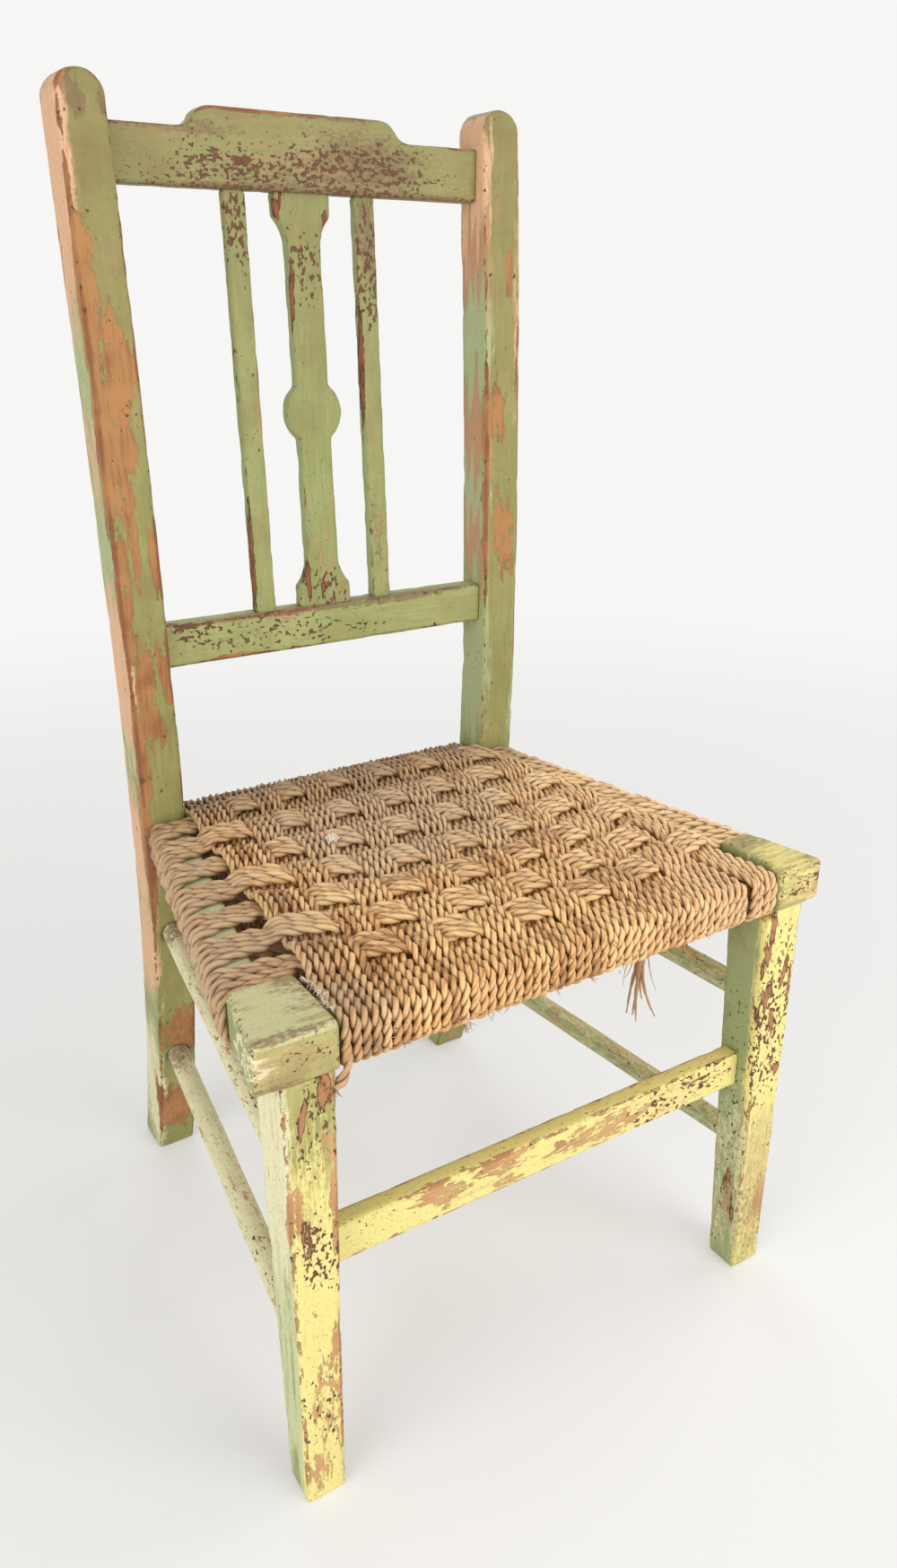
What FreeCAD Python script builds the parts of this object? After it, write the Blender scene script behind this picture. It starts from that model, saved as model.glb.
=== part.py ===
"""Small painted chair with a woven cord seat: joined wooden frame, banister back, interlaced cord bands."""
import FreeCAD, Part
import math
import os
import Sketcher

Vector = FreeCAD.Vector
Rotation = FreeCAD.Rotation
Placement = FreeCAD.Placement

doc = FreeCAD.newDocument("child_chair")

# Driving dimensions in millimetres, seen from the front: left is -X, the back is +Y.
DIMENSIONS = {
    # whole chair
    "chair_height": 640,
    "overall_depth": 319,
    # rear posts: one sawn piece each, kicked back below the waist and swept back above it
    "post_width": 24.5,
    "post_depth": 26.5,
    "post_outer_floor": 124,
    "post_outer_top": 130,
    "post_waist_height": 330,
    "foot_sweep_radius": 1010,
    "back_sweep_radius": 4250,
    "post_edge_flat": 0.8,
    # crest rail with a raised centre between two ogee shoulders
    "crest_drop": 47,
    "crest_end_height": 27,
    "crest_rise": 10,
    "crest_flat_width": 96,
    "crest_ogee_run": 18,
    "crest_offset": -4,
    "crest_setback": 8,
    "crest_thickness": 14,
    # lower back rail
    "lower_rail_bottom": 352,
    "lower_rail_height": 24,
    "lower_rail_setback": 6.3,
    "lower_rail_thickness": 14,
    # splat and slats between the two back rails
    "banister_offset": -3,
    "splat_thickness": 8,
    "splat_end_width": 33,
    "splat_waist_width": 19.5,
    "splat_foot_height": 11,
    "splat_flare_height": 16,
    "splat_disc_radius": 17,
    "splat_disc_part": 0.4925,
    "slat_width": 12.5,
    "slat_thickness": 7,
    "slat_spacing": 37.8,
    "tongue_length": 7,
    "tongue_shoulder": 1.5,
    # front legs: outer and front faces stay straight, inner and back faces taper
    "leg_length": 243,
    "leg_inset_top": 11.9,
    "leg_inset_foot": 12.9,
    "leg_top_width": 25.7,
    "leg_foot_width": 20.5,
    "leg_top_depth": 29.5,
    "leg_foot_depth": 21,
    "leg_tenon_radius": 7.5,
    "leg_tenon_length": 13,
    # seat frame: corner blocks stand above the rails that the cord goes round
    "block_height": 23.5,
    "block_outer": 164.5,
    "block_depth": 46.8,
    "block_left_width": 40.5,
    "block_right_width": 30.5,
    "block_edge_flat": 1.6,
    "seat_back_outer": 120,
    "rail_height": 17,
    "rail_drop": 5.5,
    "rail_setback": 5.2,
    "rail_edge_radius": 3,
    "front_rail_depth": 27,
    "side_rail_width": 19,
    "back_rail_depth": 18,
    # stretchers
    "stretcher_top": 149.6,
    "stretcher_height": 21.8,
    "stretcher_thickness": 11,
    "stretcher_setback": 11.2,
    "dowel_radius": 6.7,
    "dowel_upper_back": 188.5,
    "dowel_upper_front": 181,
    "dowel_lower_back": 90,
    "dowel_lower_front": 83.5,
    "dowel_seat_depth": 12,
    # long edges of legs, flat stretcher and back rails
    "board_edge_flat": 0.9,
    # joints
    "tenon_length": 12,
    "tenon_shoulder": 4,
    "seat_tenon_length": 9,
    "seat_tenon_height": 6,
    "seat_tenon_thickness": 9,
    "fit_clearance": 0.2,
    "end_clearance": 0.5,
    # woven cord seat
    "cord_diameter": 4.6,
    "cord_clearance": 0.3,
    "warp_gap": 4,
    "warp_margin": 0.8,
    "weft_count": 7,
    "weft_front_margin": 1,
    "weft_back_margin": 3,
    # width, ramp and bow of a weft row, as shares of the rows' pitch
    "weft_fill": 0.639,
    "weft_ramp": 0.177,
    "weft_bow_front": 0.781,
    "weft_bow_middle": 0.759,
    "weft_bow_back": -0.355,
}

sheet = doc.addObject("Spreadsheet::Sheet", "Dims")
for row, (alias, size) in enumerate(DIMENSIONS.items(), start=1):
    sheet.set(f"A{row}", alias)
    sheet.set(f"B{row}", str(size))
    sheet.setAlias(f"B{row}", alias)
doc.recompute()


def dim(alias):
    """Expression that reads one driving dimension."""
    return f"Dims.{alias}"


def value(expression):
    """Number that an expression gives with the sheet's present values."""
    return float(sheet.evalExpression(expression))


# Derived places, each written once as an expression on the driving dimensions.
FRONT = "(-Dims.overall_depth / 2)"
BLOCK_TOP = "(Dims.leg_length + Dims.block_height)"
RAIL_TOP = f"({BLOCK_TOP} - Dims.rail_drop)"
RAIL_BOTTOM = f"({RAIL_TOP} - Dims.rail_height)"
RAIL_MIDDLE = f"({RAIL_TOP} - Dims.rail_height / 2)"
FOOT_BACK_RADIUS = "(Dims.foot_sweep_radius - Dims.post_depth)"
FOOT_RISE = f"(Dims.foot_sweep_radius - sqrt({FOOT_BACK_RADIUS}^2 - Dims.post_waist_height^2))"
WAIST = f"(Dims.overall_depth / 2 - {FOOT_RISE})"
CREST_BOTTOM = "(Dims.chair_height - Dims.crest_drop)"
CREST_TOP = f"({CREST_BOTTOM} + Dims.crest_end_height)"
LOWER_RAIL_TOP = "(Dims.lower_rail_bottom + Dims.lower_rail_height)"
BLOCK_BACK = f"({FRONT} + Dims.block_depth)"
STRETCHER_BOTTOM = "(Dims.stretcher_top - Dims.stretcher_height)"


def post_face(height, inset="0"):
    """Y of the rear post's front face at a height, or of a face set behind it by an inset."""
    below = value(f"({height}) - Dims.post_waist_height") < 0
    radius = "Dims.foot_sweep_radius" if below else "Dims.back_sweep_radius"
    run = f"(({height}) - Dims.post_waist_height)"
    return f"({WAIST} + {radius} - sqrt(({radius} - ({inset}))^2 - {run}^2))"


def post_outer(height):
    """X of the right post's outer face: the posts spread a little towards the top."""
    spread = "(Dims.post_outer_top - Dims.post_outer_floor)"
    return f"(Dims.post_outer_floor + {spread} * ({height}) / Dims.chair_height)"


def post_inner(height):
    """X of the right post's inner face."""
    return f"({post_outer(height)} - Dims.post_width)"


def leg_part(top, foot, height):
    """A front leg's size at a height, between its top and foot values."""
    return f"(Dims.{foot} + (Dims.{top} - Dims.{foot}) * ({height}) / Dims.leg_length)"


def leg_outer(height):
    """X of the right leg's outer face, which stands in from the side of the block above it."""
    return f"(Dims.block_outer - {leg_part('leg_inset_top', 'leg_inset_foot', height)})"


def leg_inner(height):
    """X of the right leg's inner face."""
    return f"({leg_outer(height)} - {leg_part('leg_top_width', 'leg_foot_width', height)})"


def leg_back(height):
    """Y of a front leg's back face."""
    return f"({FRONT} + {leg_part('leg_top_depth', 'leg_foot_depth', height)})"


BACK_RAIL_FRONT = f"({post_face(RAIL_MIDDLE)} + (Dims.post_depth - Dims.back_rail_depth) / 2)"
SEAT_END = post_face(RAIL_TOP)
SEAT_TAPER = f"((Dims.block_outer - Dims.seat_back_outer) / ({SEAT_END} - {FRONT}))"


def seat_side(depth):
    """X of the right-hand outer side of the seat frame at a depth."""
    return f"(Dims.block_outer - {SEAT_TAPER} * (({depth}) - {FRONT}))"


# Planes that outlines are drawn on: the axes of the drawing follow two axes of the chair.
PLANES = {
    "plan": Rotation(),
    "front": Rotation(Vector(1, 0, 0), 90),
    "side": Rotation(Vector(1, 1, 1), 120),
}


# Outlines run anticlockwise, so an arc that bends to the right of its chord is round, to the left hollow.
ROUND = -1
HOLLOW = 1


def arc_shape(start, end, radius, turn):
    """Minor arc from start to end that bends to the left (+1) or right (-1) of its chord."""
    chord = end - start
    middle = (start + end) * 0.5
    reach = math.sqrt(max(radius ** 2 - (chord.Length / 2) ** 2, 0))
    normal = Vector(-chord.y, chord.x, 0).normalize()
    centre = middle - normal * reach * turn
    bulge = centre + (middle - centre + normal * turn * 1e-9).normalize() * radius
    return Part.Arc(start, bulge, end)


def outline(name, plane, corners, base=Vector(), rotation=None):
    """Closed sketch through corners (x, y) or, for an arc that ends there, (x, y, radius, turn)."""
    sketch = doc.addObject("Sketcher::SketchObject", name)
    sketch.Placement = Placement(base, rotation or PLANES[plane])
    points = [Vector(value(c[0]), value(c[1]), 0) for c in corners]
    for index, corner in enumerate(corners):
        start, end = points[index - 1], points[index]
        if len(corner) == 4:
            sketch.addGeometry(arc_shape(start, end, value(corner[2]), corner[3]))
        else:
            sketch.addGeometry(Part.LineSegment(start, end))
    ends = [2 if sketch.getPoint(i, 2).distanceToPoint(p) < 1e-6 else 1 for i, p in enumerate(points)]
    for index, corner in enumerate(corners):
        following = (index + 1) % len(corners)
        join = Sketcher.Constraint("Coincident", index, ends[index], following, 3 - ends[following])
        sketch.addConstraint(join)
        for axis, expression in zip(("DistanceX", "DistanceY"), corner[:2]):
            number = sketch.addConstraint(Sketcher.Constraint(axis, index, ends[index], value(expression)))
            sketch.setExpression(f"Constraints[{number}]", expression)
        if len(corner) == 4:
            number = sketch.addConstraint(Sketcher.Constraint("Radius", index, value(corner[2])))
            sketch.setExpression(f"Constraints[{number}]", corner[2])
    return sketch


def extrude(name, sketch, length, symmetric=False):
    """Solid made by pushing an outline along its normal."""
    solid = doc.addObject("Part::Extrusion", name)
    solid.Base = sketch
    solid.DirMode = "Normal"
    solid.Solid = True
    solid.Symmetric = symmetric
    solid.setExpression("LengthFwd", length)
    return solid


def box(name, corner, size):
    """Box from its lowest corner and its three sides."""
    solid = doc.addObject("Part::Box", name)
    for side, expression in zip(("Length", "Width", "Height"), size):
        solid.setExpression(side, expression)
    for axis, expression in zip("xyz", corner):
        solid.setExpression(f"Placement.Base.{axis}", expression)
    return solid


def rod(name, start, end, radius, before=0.0, after=0.0):
    """Round bar between two points, carried past them by the lengths before and after."""
    axis = (end - start).normalize()
    solid = doc.addObject("Part::Cylinder", name)
    solid.setExpression("Radius", radius)
    solid.Height = (end - start).Length + before + after
    solid.Placement = Placement(start - axis * before, Rotation(Vector(0, 0, 1), axis))
    return solid


def crossed(name, front, side):
    """Solid that fills a front outline and a side outline at once."""
    solid = doc.addObject("Part::Common", name)
    solid.Base = extrude(name + "_from_front", front, "2 * Dims.overall_depth", True)
    solid.Tool = extrude(name + "_from_side", side, "4 * Dims.block_outer", True)
    return solid


def fuse(name, *pieces):
    """One solid from several."""
    solid = doc.addObject("Part::MultiFuse", name)
    solid.Shapes = list(pieces)
    return solid


def cut(name, base, *tools):
    """Base with the tools taken out of it."""
    solid = doc.addObject("Part::Cut", name)
    solid.Base = base
    solid.Tool = tools[0] if len(tools) == 1 else fuse(name + "_tools", *tools)
    return solid


def mirror(name, source):
    """Copy of a right-hand piece on the left."""
    solid = doc.addObject("Part::Mirroring", name)
    solid.Source = source
    solid.Normal = Vector(1, 0, 0)
    return solid


def dress_edges(kind, name, base, size, wanted):
    """Base with each edge for which wanted(edge) holds taken down by a size."""
    doc.recompute()
    chosen = [i for i, edge in enumerate(base.Shape.Edges, start=1) if wanted(edge)]
    solid = doc.addObject(kind, name)
    solid.Base = base
    solid.Edges = [(i, value(size), value(size)) for i in chosen]
    return solid


def ease(name, base, radius, wanted):
    """Base with rounded edges."""
    return dress_edges("Part::Fillet", name, base, radius, wanted)


def flatten(name, base, width, wanted):
    """Base with the sharp edges planed to narrow flats."""
    return dress_edges("Part::Chamfer", name, base, width, wanted)


def grown(expression, clearance="fit_clearance"):
    """Size of a socket for a tenon of the given size."""
    return f"({expression} + 2 * Dims.{clearance})"


def lowered(expression, clearance="fit_clearance"):
    """Lowest place of a socket for a tenon that starts at the given place."""
    return f"({expression} - Dims.{clearance})"


def along(axis):
    """Test for straight edges that run more along one axis than across it."""
    def test(edge):
        if edge.Curve.TypeId != "Part::GeomLine":
            return False
        span = edge.Vertexes[-1].Point - edge.Vertexes[0].Point
        return abs(span.dot(axis)) > math.sqrt(0.5) * span.Length
    return test


pieces = {}


def keep(label, solid):
    """Names a finished piece."""
    solid.Label = label
    pieces[label] = solid


# Rails of the back: outlines seen from the front, pushed back by their thickness.
def back_rail(name, corners, front, thickness, bottom, height):
    """Rail between the posts with a tenon on each end, and the socket that the tenon needs on the right."""
    plate = extrude(name + "_plate", outline(name + "_outline", "front", corners, Vector(0, value(front), 0)),
                    thickness)
    plate.Reversed = True
    eased = flatten(name + "_eased", plate, "Dims.board_edge_flat", along(Vector(1, 0, 0)))
    tenon_bottom = f"({bottom} + Dims.tenon_shoulder)"
    tenon_height = f"({height} - 2 * Dims.tenon_shoulder)"
    tenon_front = f"({front} + Dims.tenon_shoulder)"
    tenon_thickness = f"({thickness} - 2 * Dims.tenon_shoulder)"
    reach = f"({post_inner(bottom)} + Dims.tenon_length)"
    tenon = box(name + "_tenon", (f"-{reach}", tenon_front, tenon_bottom),
                (f"2 * {reach}", tenon_thickness, tenon_height))
    inner = f"({post_inner(bottom)} - Dims.tenon_length)"
    socket = box(name + "_socket", (inner, lowered(tenon_front), lowered(tenon_bottom)),
                 ("2 * Dims.tenon_length + Dims.end_clearance", grown(tenon_thickness), grown(tenon_height)))
    return fuse(name + "_whole", eased, tenon), socket


CREST_MIDDLE = f"({CREST_BOTTOM} + Dims.crest_end_height / 2)"
CREST_FRONT = f"({post_face(CREST_MIDDLE)} + Dims.crest_setback)"
OGEE_RADIUS = "((Dims.crest_ogee_run^2 + Dims.crest_rise^2) / (4 * Dims.crest_rise))"
FLAT_END = "(Dims.crest_flat_width / 2)"
OGEE_MIDDLE = f"({FLAT_END} + Dims.crest_ogee_run / 2)"
OGEE_END = f"({FLAT_END} + Dims.crest_ogee_run)"
CREST_PEAK = f"({CREST_TOP} + Dims.crest_rise)"
CREST_HALF_RISE = f"({CREST_TOP} + Dims.crest_rise / 2)"
crest_corners = [
    (f"-{post_inner(CREST_BOTTOM)}", CREST_BOTTOM),
    (post_inner(CREST_BOTTOM), CREST_BOTTOM),
    (post_inner(CREST_TOP), CREST_TOP),
    (f"Dims.crest_offset + {OGEE_END}", CREST_TOP),
    (f"Dims.crest_offset + {OGEE_MIDDLE}", CREST_HALF_RISE, OGEE_RADIUS, HOLLOW),
    (f"Dims.crest_offset + {FLAT_END}", CREST_PEAK, OGEE_RADIUS, ROUND),
    (f"Dims.crest_offset - {FLAT_END}", CREST_PEAK),
    (f"Dims.crest_offset - {OGEE_MIDDLE}", CREST_HALF_RISE, OGEE_RADIUS, ROUND),
    (f"Dims.crest_offset - {OGEE_END}", CREST_TOP, OGEE_RADIUS, HOLLOW),
    (f"-{post_inner(CREST_TOP)}", CREST_TOP),
]

crest_whole, crest_socket = back_rail("crest", crest_corners, CREST_FRONT, dim("crest_thickness"),
                                      CREST_BOTTOM, dim("crest_end_height"))

LOWER_MIDDLE = "(Dims.lower_rail_bottom + Dims.lower_rail_height / 2)"
LOWER_FRONT = f"({post_face(LOWER_MIDDLE)} + Dims.lower_rail_setback)"
lower_corners = [
    (f"-{post_inner('Dims.lower_rail_bottom')}", dim("lower_rail_bottom")),
    (post_inner("Dims.lower_rail_bottom"), dim("lower_rail_bottom")),
    (post_inner(LOWER_RAIL_TOP), LOWER_RAIL_TOP),
    (f"-{post_inner(LOWER_RAIL_TOP)}", LOWER_RAIL_TOP),
]
lower_whole, lower_socket = back_rail("lower", lower_corners, LOWER_FRONT, dim("lower_rail_thickness"),
                                      dim("lower_rail_bottom"), dim("lower_rail_height"))

# Splat and slats lean back from the lower rail to the crest rail, with a tongue in a slot at each end.
LEAN_FOOT = Vector(0, value(f"{LOWER_FRONT} + Dims.lower_rail_thickness / 2"), value(LOWER_RAIL_TOP))
LEAN_RISE = f"({CREST_BOTTOM} - {LOWER_RAIL_TOP})"
LEAN_RUN = f"({CREST_FRONT} + Dims.crest_thickness / 2 - {LOWER_FRONT} - Dims.lower_rail_thickness / 2)"
SPAN = f"sqrt({LEAN_RISE}^2 + {LEAN_RUN}^2)"
LEAN = math.degrees(math.atan2(value(LEAN_RUN), value(LEAN_RISE)))
LEAN_TURN = Rotation(Vector(1, 0, 0), 90 - LEAN)
SHOULDER_LOW = dim("end_clearance")
SHOULDER_HIGH = f"({SPAN} - Dims.end_clearance)"
TONGUE_LOW = "(-Dims.tongue_length)"
TONGUE_HIGH = f"({SPAN} + Dims.tongue_length)"


def leaning(name, corners, thickness):
    """Flat piece in the leaning plane of the back."""
    return extrude(name, outline(name + "_outline", "front", corners, LEAN_FOOT, LEAN_TURN), thickness, True)


def tongue_slot(name, centre, width, thickness):
    """Room for a banister's two tongues, taken out of both back rails."""
    half = f"({width} / 2 - Dims.tongue_shoulder + Dims.fit_clearance)"
    low = f"({TONGUE_LOW} - Dims.end_clearance)"
    high = f"({TONGUE_HIGH} + Dims.end_clearance)"
    corners = [(f"{centre} - {half}", low), (f"{centre} + {half}", low),
               (f"{centre} + {half}", high), (f"{centre} - {half}", high)]
    return leaning(name, corners, grown(thickness))


def banister(name, centre, side, thickness, width):
    """Flat upright from the right-hand half of its outline, drawn again in mirror on the left."""
    half = f"({width} / 2)"
    tongue = f"({width} / 2 - Dims.tongue_shoulder)"
    foot = [(tongue, TONGUE_LOW), (tongue, SHOULDER_LOW), (half, SHOULDER_LOW)]
    head = [(half, SHOULDER_HIGH), (tongue, SHOULDER_HIGH), (tongue, TONGUE_HIGH)]
    right = foot + side + head
    left = []
    for index in range(len(right) - 1, -1, -1):
        arc = right[index + 1][2:] if index + 1 < len(right) else ()
        left.append((f"-{right[index][0]}", right[index][1]) + arc)
    corners = [(f"{centre} + ({c[0]})", *c[1:]) for c in right + left]
    return leaning(name, corners, thickness), tongue_slot(name + "_slot", centre, width, thickness)


WAIST_HALF = "(Dims.splat_waist_width / 2)"
END_HALF = "(Dims.splat_end_width / 2)"
FLARE_STEP = f"({END_HALF} - {WAIST_HALF})"
FLARE_RADIUS = f"(({FLARE_STEP}^2 + Dims.splat_flare_height^2) / (2 * {FLARE_STEP}))"
FLARE_END = "(Dims.splat_foot_height + Dims.splat_flare_height)"
DISC_HEIGHT = f"(Dims.splat_disc_part * {SPAN})"
DISC_REACH = f"sqrt(Dims.splat_disc_radius^2 - {WAIST_HALF}^2)"
splat_side = [
    (END_HALF, dim("splat_foot_height")),
    (WAIST_HALF, FLARE_END, FLARE_RADIUS, HOLLOW),
    (WAIST_HALF, f"{DISC_HEIGHT} - {DISC_REACH}"),
    (WAIST_HALF, f"{DISC_HEIGHT} + {DISC_REACH}", dim("splat_disc_radius"), ROUND),
    (WAIST_HALF, f"{SPAN} - {FLARE_END}"),
    (END_HALF, f"{SPAN} - Dims.splat_foot_height", FLARE_RADIUS, HOLLOW),
]
splat, splat_slot = banister("splat", dim("banister_offset"), splat_side, dim("splat_thickness"),
                             dim("splat_end_width"))
slats = []
for side, sign in (("left", "-"), ("right", "+")):
    centre = f"(Dims.banister_offset {sign} Dims.slat_spacing)"
    slats.append(banister(f"slat_{side}", centre, [], dim("slat_thickness"), dim("slat_width")))
slots = [splat_slot, slats[0][1], slats[1][1]]
keep("back_splat", splat)
keep("back_slat_left", slats[0][0])
keep("back_slat_right", slats[1][0])
keep("crest_rail", cut("crest_slotted", crest_whole, *slots))
keep("lower_back_rail", cut("lower_slotted", lower_whole, *slots))

# Seat rails that the cord goes round, with their long edges eased for it.
def seat_tenon_x(depth):
    """X where a side rail's tenon starts, centred on the rail at a depth."""
    return f"({seat_side(depth)} - (Dims.side_rail_width + Dims.seat_tenon_thickness) / 2)"


TENON_EDGE = "((Dims.rail_height - 2 * Dims.seat_tenon_height) / 4)"
SIDE_TENON_BOTTOM = f"({RAIL_BOTTOM} + {TENON_EDGE})"
BACK_TENON_BOTTOM = f"({RAIL_TOP} - {TENON_EDGE} - Dims.seat_tenon_height)"
SIDE_TENON_ENDS = (f"({BLOCK_BACK} - Dims.seat_tenon_length)", f"({SEAT_END} - Dims.seat_tenon_length)")
side_corners = [
    (seat_side(BLOCK_BACK), BLOCK_BACK),
    (seat_side(SEAT_END), SEAT_END),
    (f"{seat_side(SEAT_END)} - Dims.side_rail_width", SEAT_END),
    (f"{seat_side(BLOCK_BACK)} - Dims.side_rail_width", BLOCK_BACK),
]
side_bar = extrude("side_bar", outline("side_plan", "plan", side_corners, Vector(0, 0, value(RAIL_BOTTOM))),
                   dim("rail_height"))
side_eased = ease("side_eased", side_bar, "Dims.rail_edge_radius", along(Vector(0, 1, 0)))
side_tenons = []
side_sockets = []
for name, depth, start in zip(("block", "post"), (BLOCK_BACK, SEAT_END), SIDE_TENON_ENDS):
    place = (seat_tenon_x(depth), start, SIDE_TENON_BOTTOM)
    length = "2 * Dims.seat_tenon_length"
    side_tenons.append(box(f"side_tenon_{name}", place,
                           (dim("seat_tenon_thickness"), length, dim("seat_tenon_height"))))
    room = (lowered(place[0]), lowered(start, "end_clearance"), lowered(SIDE_TENON_BOTTOM))
    side_sockets.append(box(f"side_socket_{name}", room,
                            (grown("Dims.seat_tenon_thickness"), grown(length, "end_clearance"),
                             grown("Dims.seat_tenon_height"))))
side_rail = fuse("side_rail", side_eased, *side_tenons)
keep("side_seat_rail_right", side_rail)
keep("side_seat_rail_left", mirror("side_rail_mirror", side_rail))

BACK_REACH = post_inner(RAIL_BOTTOM)
back_bar = box("back_bar", (f"-{BACK_REACH}", BACK_RAIL_FRONT, RAIL_BOTTOM),
               (f"2 * {BACK_REACH}", dim("back_rail_depth"), dim("rail_height")))
back_eased = ease("back_eased", back_bar, "Dims.rail_edge_radius", along(Vector(1, 0, 0)))
BACK_TENON_FRONT = f"({BACK_RAIL_FRONT} + (Dims.back_rail_depth - Dims.seat_tenon_thickness) / 2)"
BACK_TENON_REACH = f"({BACK_REACH} + Dims.seat_tenon_length)"
back_tenon = box("back_tenon", (f"-{BACK_TENON_REACH}", BACK_TENON_FRONT, BACK_TENON_BOTTOM),
                 (f"2 * {BACK_TENON_REACH}", dim("seat_tenon_thickness"), dim("seat_tenon_height")))
back_socket = box("back_socket", (f"{BACK_REACH} - Dims.seat_tenon_length", lowered(BACK_TENON_FRONT),
                                  lowered(BACK_TENON_BOTTOM)),
                  ("2 * Dims.seat_tenon_length + Dims.end_clearance", grown("Dims.seat_tenon_thickness"),
                   grown("Dims.seat_tenon_height")))
keep("back_seat_rail", fuse("back_rail_whole", back_eased, back_tenon))

# Front seat rail: a corner block at each end and a reduced bar between them, in one piece.
BLOCK_LEFT_END = "(Dims.block_left_width - Dims.block_outer)"
BLOCK_RIGHT_END = "(Dims.block_outer - Dims.block_right_width)"
BAR_FRONT = f"({FRONT} + Dims.rail_setback)"


def corner_block(name, sign, inner):
    """Block above a front leg, its outer side on the line of the side rail."""
    corners = [(inner, FRONT), (f"{sign}Dims.block_outer", FRONT),
               (f"{sign}{seat_side(BLOCK_BACK)}", BLOCK_BACK), (inner, BLOCK_BACK)]
    plan = outline(name + "_plan", "plan", corners, Vector(0, 0, value("Dims.leg_length")))
    block = extrude(name, plan, dim("block_height"))
    return flatten(name + "_eased", block, "Dims.block_edge_flat",
                   lambda edge: edge.BoundBox.ZMax > value("Dims.leg_length + Dims.block_height / 2"))


left_block = corner_block("block_left", "-", BLOCK_LEFT_END)
right_block = corner_block("block_right", "", BLOCK_RIGHT_END)
BAR_OVERLAP = "(Dims.block_right_width / 2)"
front_bar = box("front_bar", (f"{BLOCK_LEFT_END} - {BAR_OVERLAP}", BAR_FRONT, RAIL_BOTTOM),
                (f"{BLOCK_RIGHT_END} - {BLOCK_LEFT_END} + 2 * {BAR_OVERLAP}", dim("front_rail_depth"),
                 dim("rail_height")))
front_eased = ease("front_eased", front_bar, "Dims.rail_edge_radius", along(Vector(1, 0, 0)))
front_whole = fuse("front_whole", left_block, right_block, front_eased)
LEG_CENTRE_X = f"({leg_outer('Dims.leg_length')} - Dims.leg_top_width / 2)"
LEG_CENTRE_Y = f"({FRONT} + Dims.leg_top_depth / 2)"
leg_top = Vector(value(LEG_CENTRE_X), value(LEG_CENTRE_Y), value("Dims.leg_length"))
tenon_up = Vector(0, 0, value("Dims.leg_tenon_length"))
leg_socket = rod("leg_socket", leg_top - tenon_up, leg_top + tenon_up,
                 "Dims.leg_tenon_radius + Dims.fit_clearance", 0, value("Dims.end_clearance"))
front_sockets = [leg_socket, mirror("leg_socket_mirror", leg_socket), side_sockets[0],
                 mirror("side_socket_block_mirror", side_sockets[0])]
keep("front_seat_rail", cut("front_rail", front_whole, *front_sockets))

# Stretchers: a flat one between the front legs, two round ones on each side.
stretcher_corners = [
    (f"-{leg_inner(STRETCHER_BOTTOM)}", STRETCHER_BOTTOM),
    (leg_inner(STRETCHER_BOTTOM), STRETCHER_BOTTOM),
    (leg_inner("Dims.stretcher_top"), dim("stretcher_top")),
    (f"-{leg_inner('Dims.stretcher_top')}", dim("stretcher_top")),
]
STRETCHER_FRONT = f"({FRONT} + Dims.stretcher_setback)"
stretcher_outline = outline("stretcher_outline", "front", stretcher_corners,
                            Vector(0, value(STRETCHER_FRONT), 0))
stretcher_bar = extrude("stretcher_bar", stretcher_outline, dim("stretcher_thickness"))
stretcher_bar.Reversed = True
stretcher_eased = flatten("stretcher_eased", stretcher_bar, "Dims.board_edge_flat", along(Vector(1, 0, 0)))
STRETCHER_TENON = (f"({STRETCHER_FRONT} + Dims.tenon_shoulder / 2)",
                   f"({STRETCHER_BOTTOM} + Dims.tenon_shoulder)")
STRETCHER_TENON_SIZE = ("(Dims.stretcher_thickness - Dims.tenon_shoulder)",
                        "(Dims.stretcher_height - 2 * Dims.tenon_shoulder)")
STRETCHER_REACH = f"({leg_inner('Dims.stretcher_top')} + Dims.tenon_length)"
stretcher_tenon = box("stretcher_tenon", (f"-{STRETCHER_REACH}", *STRETCHER_TENON),
                      (f"2 * {STRETCHER_REACH}", *STRETCHER_TENON_SIZE))
stretcher_socket = box("stretcher_socket", (f"{STRETCHER_REACH} - 2 * Dims.tenon_length",
                                            lowered(STRETCHER_TENON[0]), lowered(STRETCHER_TENON[1])),
                       ("2 * Dims.tenon_length + Dims.end_clearance", grown(STRETCHER_TENON_SIZE[0]),
                        grown(STRETCHER_TENON_SIZE[1])))
keep("front_stretcher", fuse("stretcher_whole", stretcher_eased, stretcher_tenon))

dowel_holes = []
for level in ("upper", "lower"):
    back_height = f"Dims.dowel_{level}_back"
    front_height = f"Dims.dowel_{level}_front"
    post_middle = f"({post_outer(back_height)} - Dims.post_width / 2)"
    back_end = Vector(value(post_middle), value(post_face(back_height)), value(back_height))
    leg_width = leg_part("leg_top_width", "leg_foot_width", front_height)
    leg_middle = f"({leg_inner(front_height)} + {leg_width} / 2)"
    front_end = Vector(value(leg_middle), value(leg_back(front_height)), value(front_height))
    seat_depth = value("Dims.dowel_seat_depth")
    hole_depth = value("Dims.dowel_seat_depth + Dims.end_clearance")
    dowel = rod(f"dowel_{level}", front_end, back_end, dim("dowel_radius"), seat_depth, seat_depth)
    dowel_holes.append(rod(f"dowel_hole_{level}", front_end, back_end,
                           "Dims.dowel_radius + Dims.fit_clearance", hole_depth, hole_depth))
    keep(f"side_stretcher_{level}_right", dowel)
    keep(f"side_stretcher_{level}_left", mirror(f"dowel_{level}_mirror", dowel))

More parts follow.
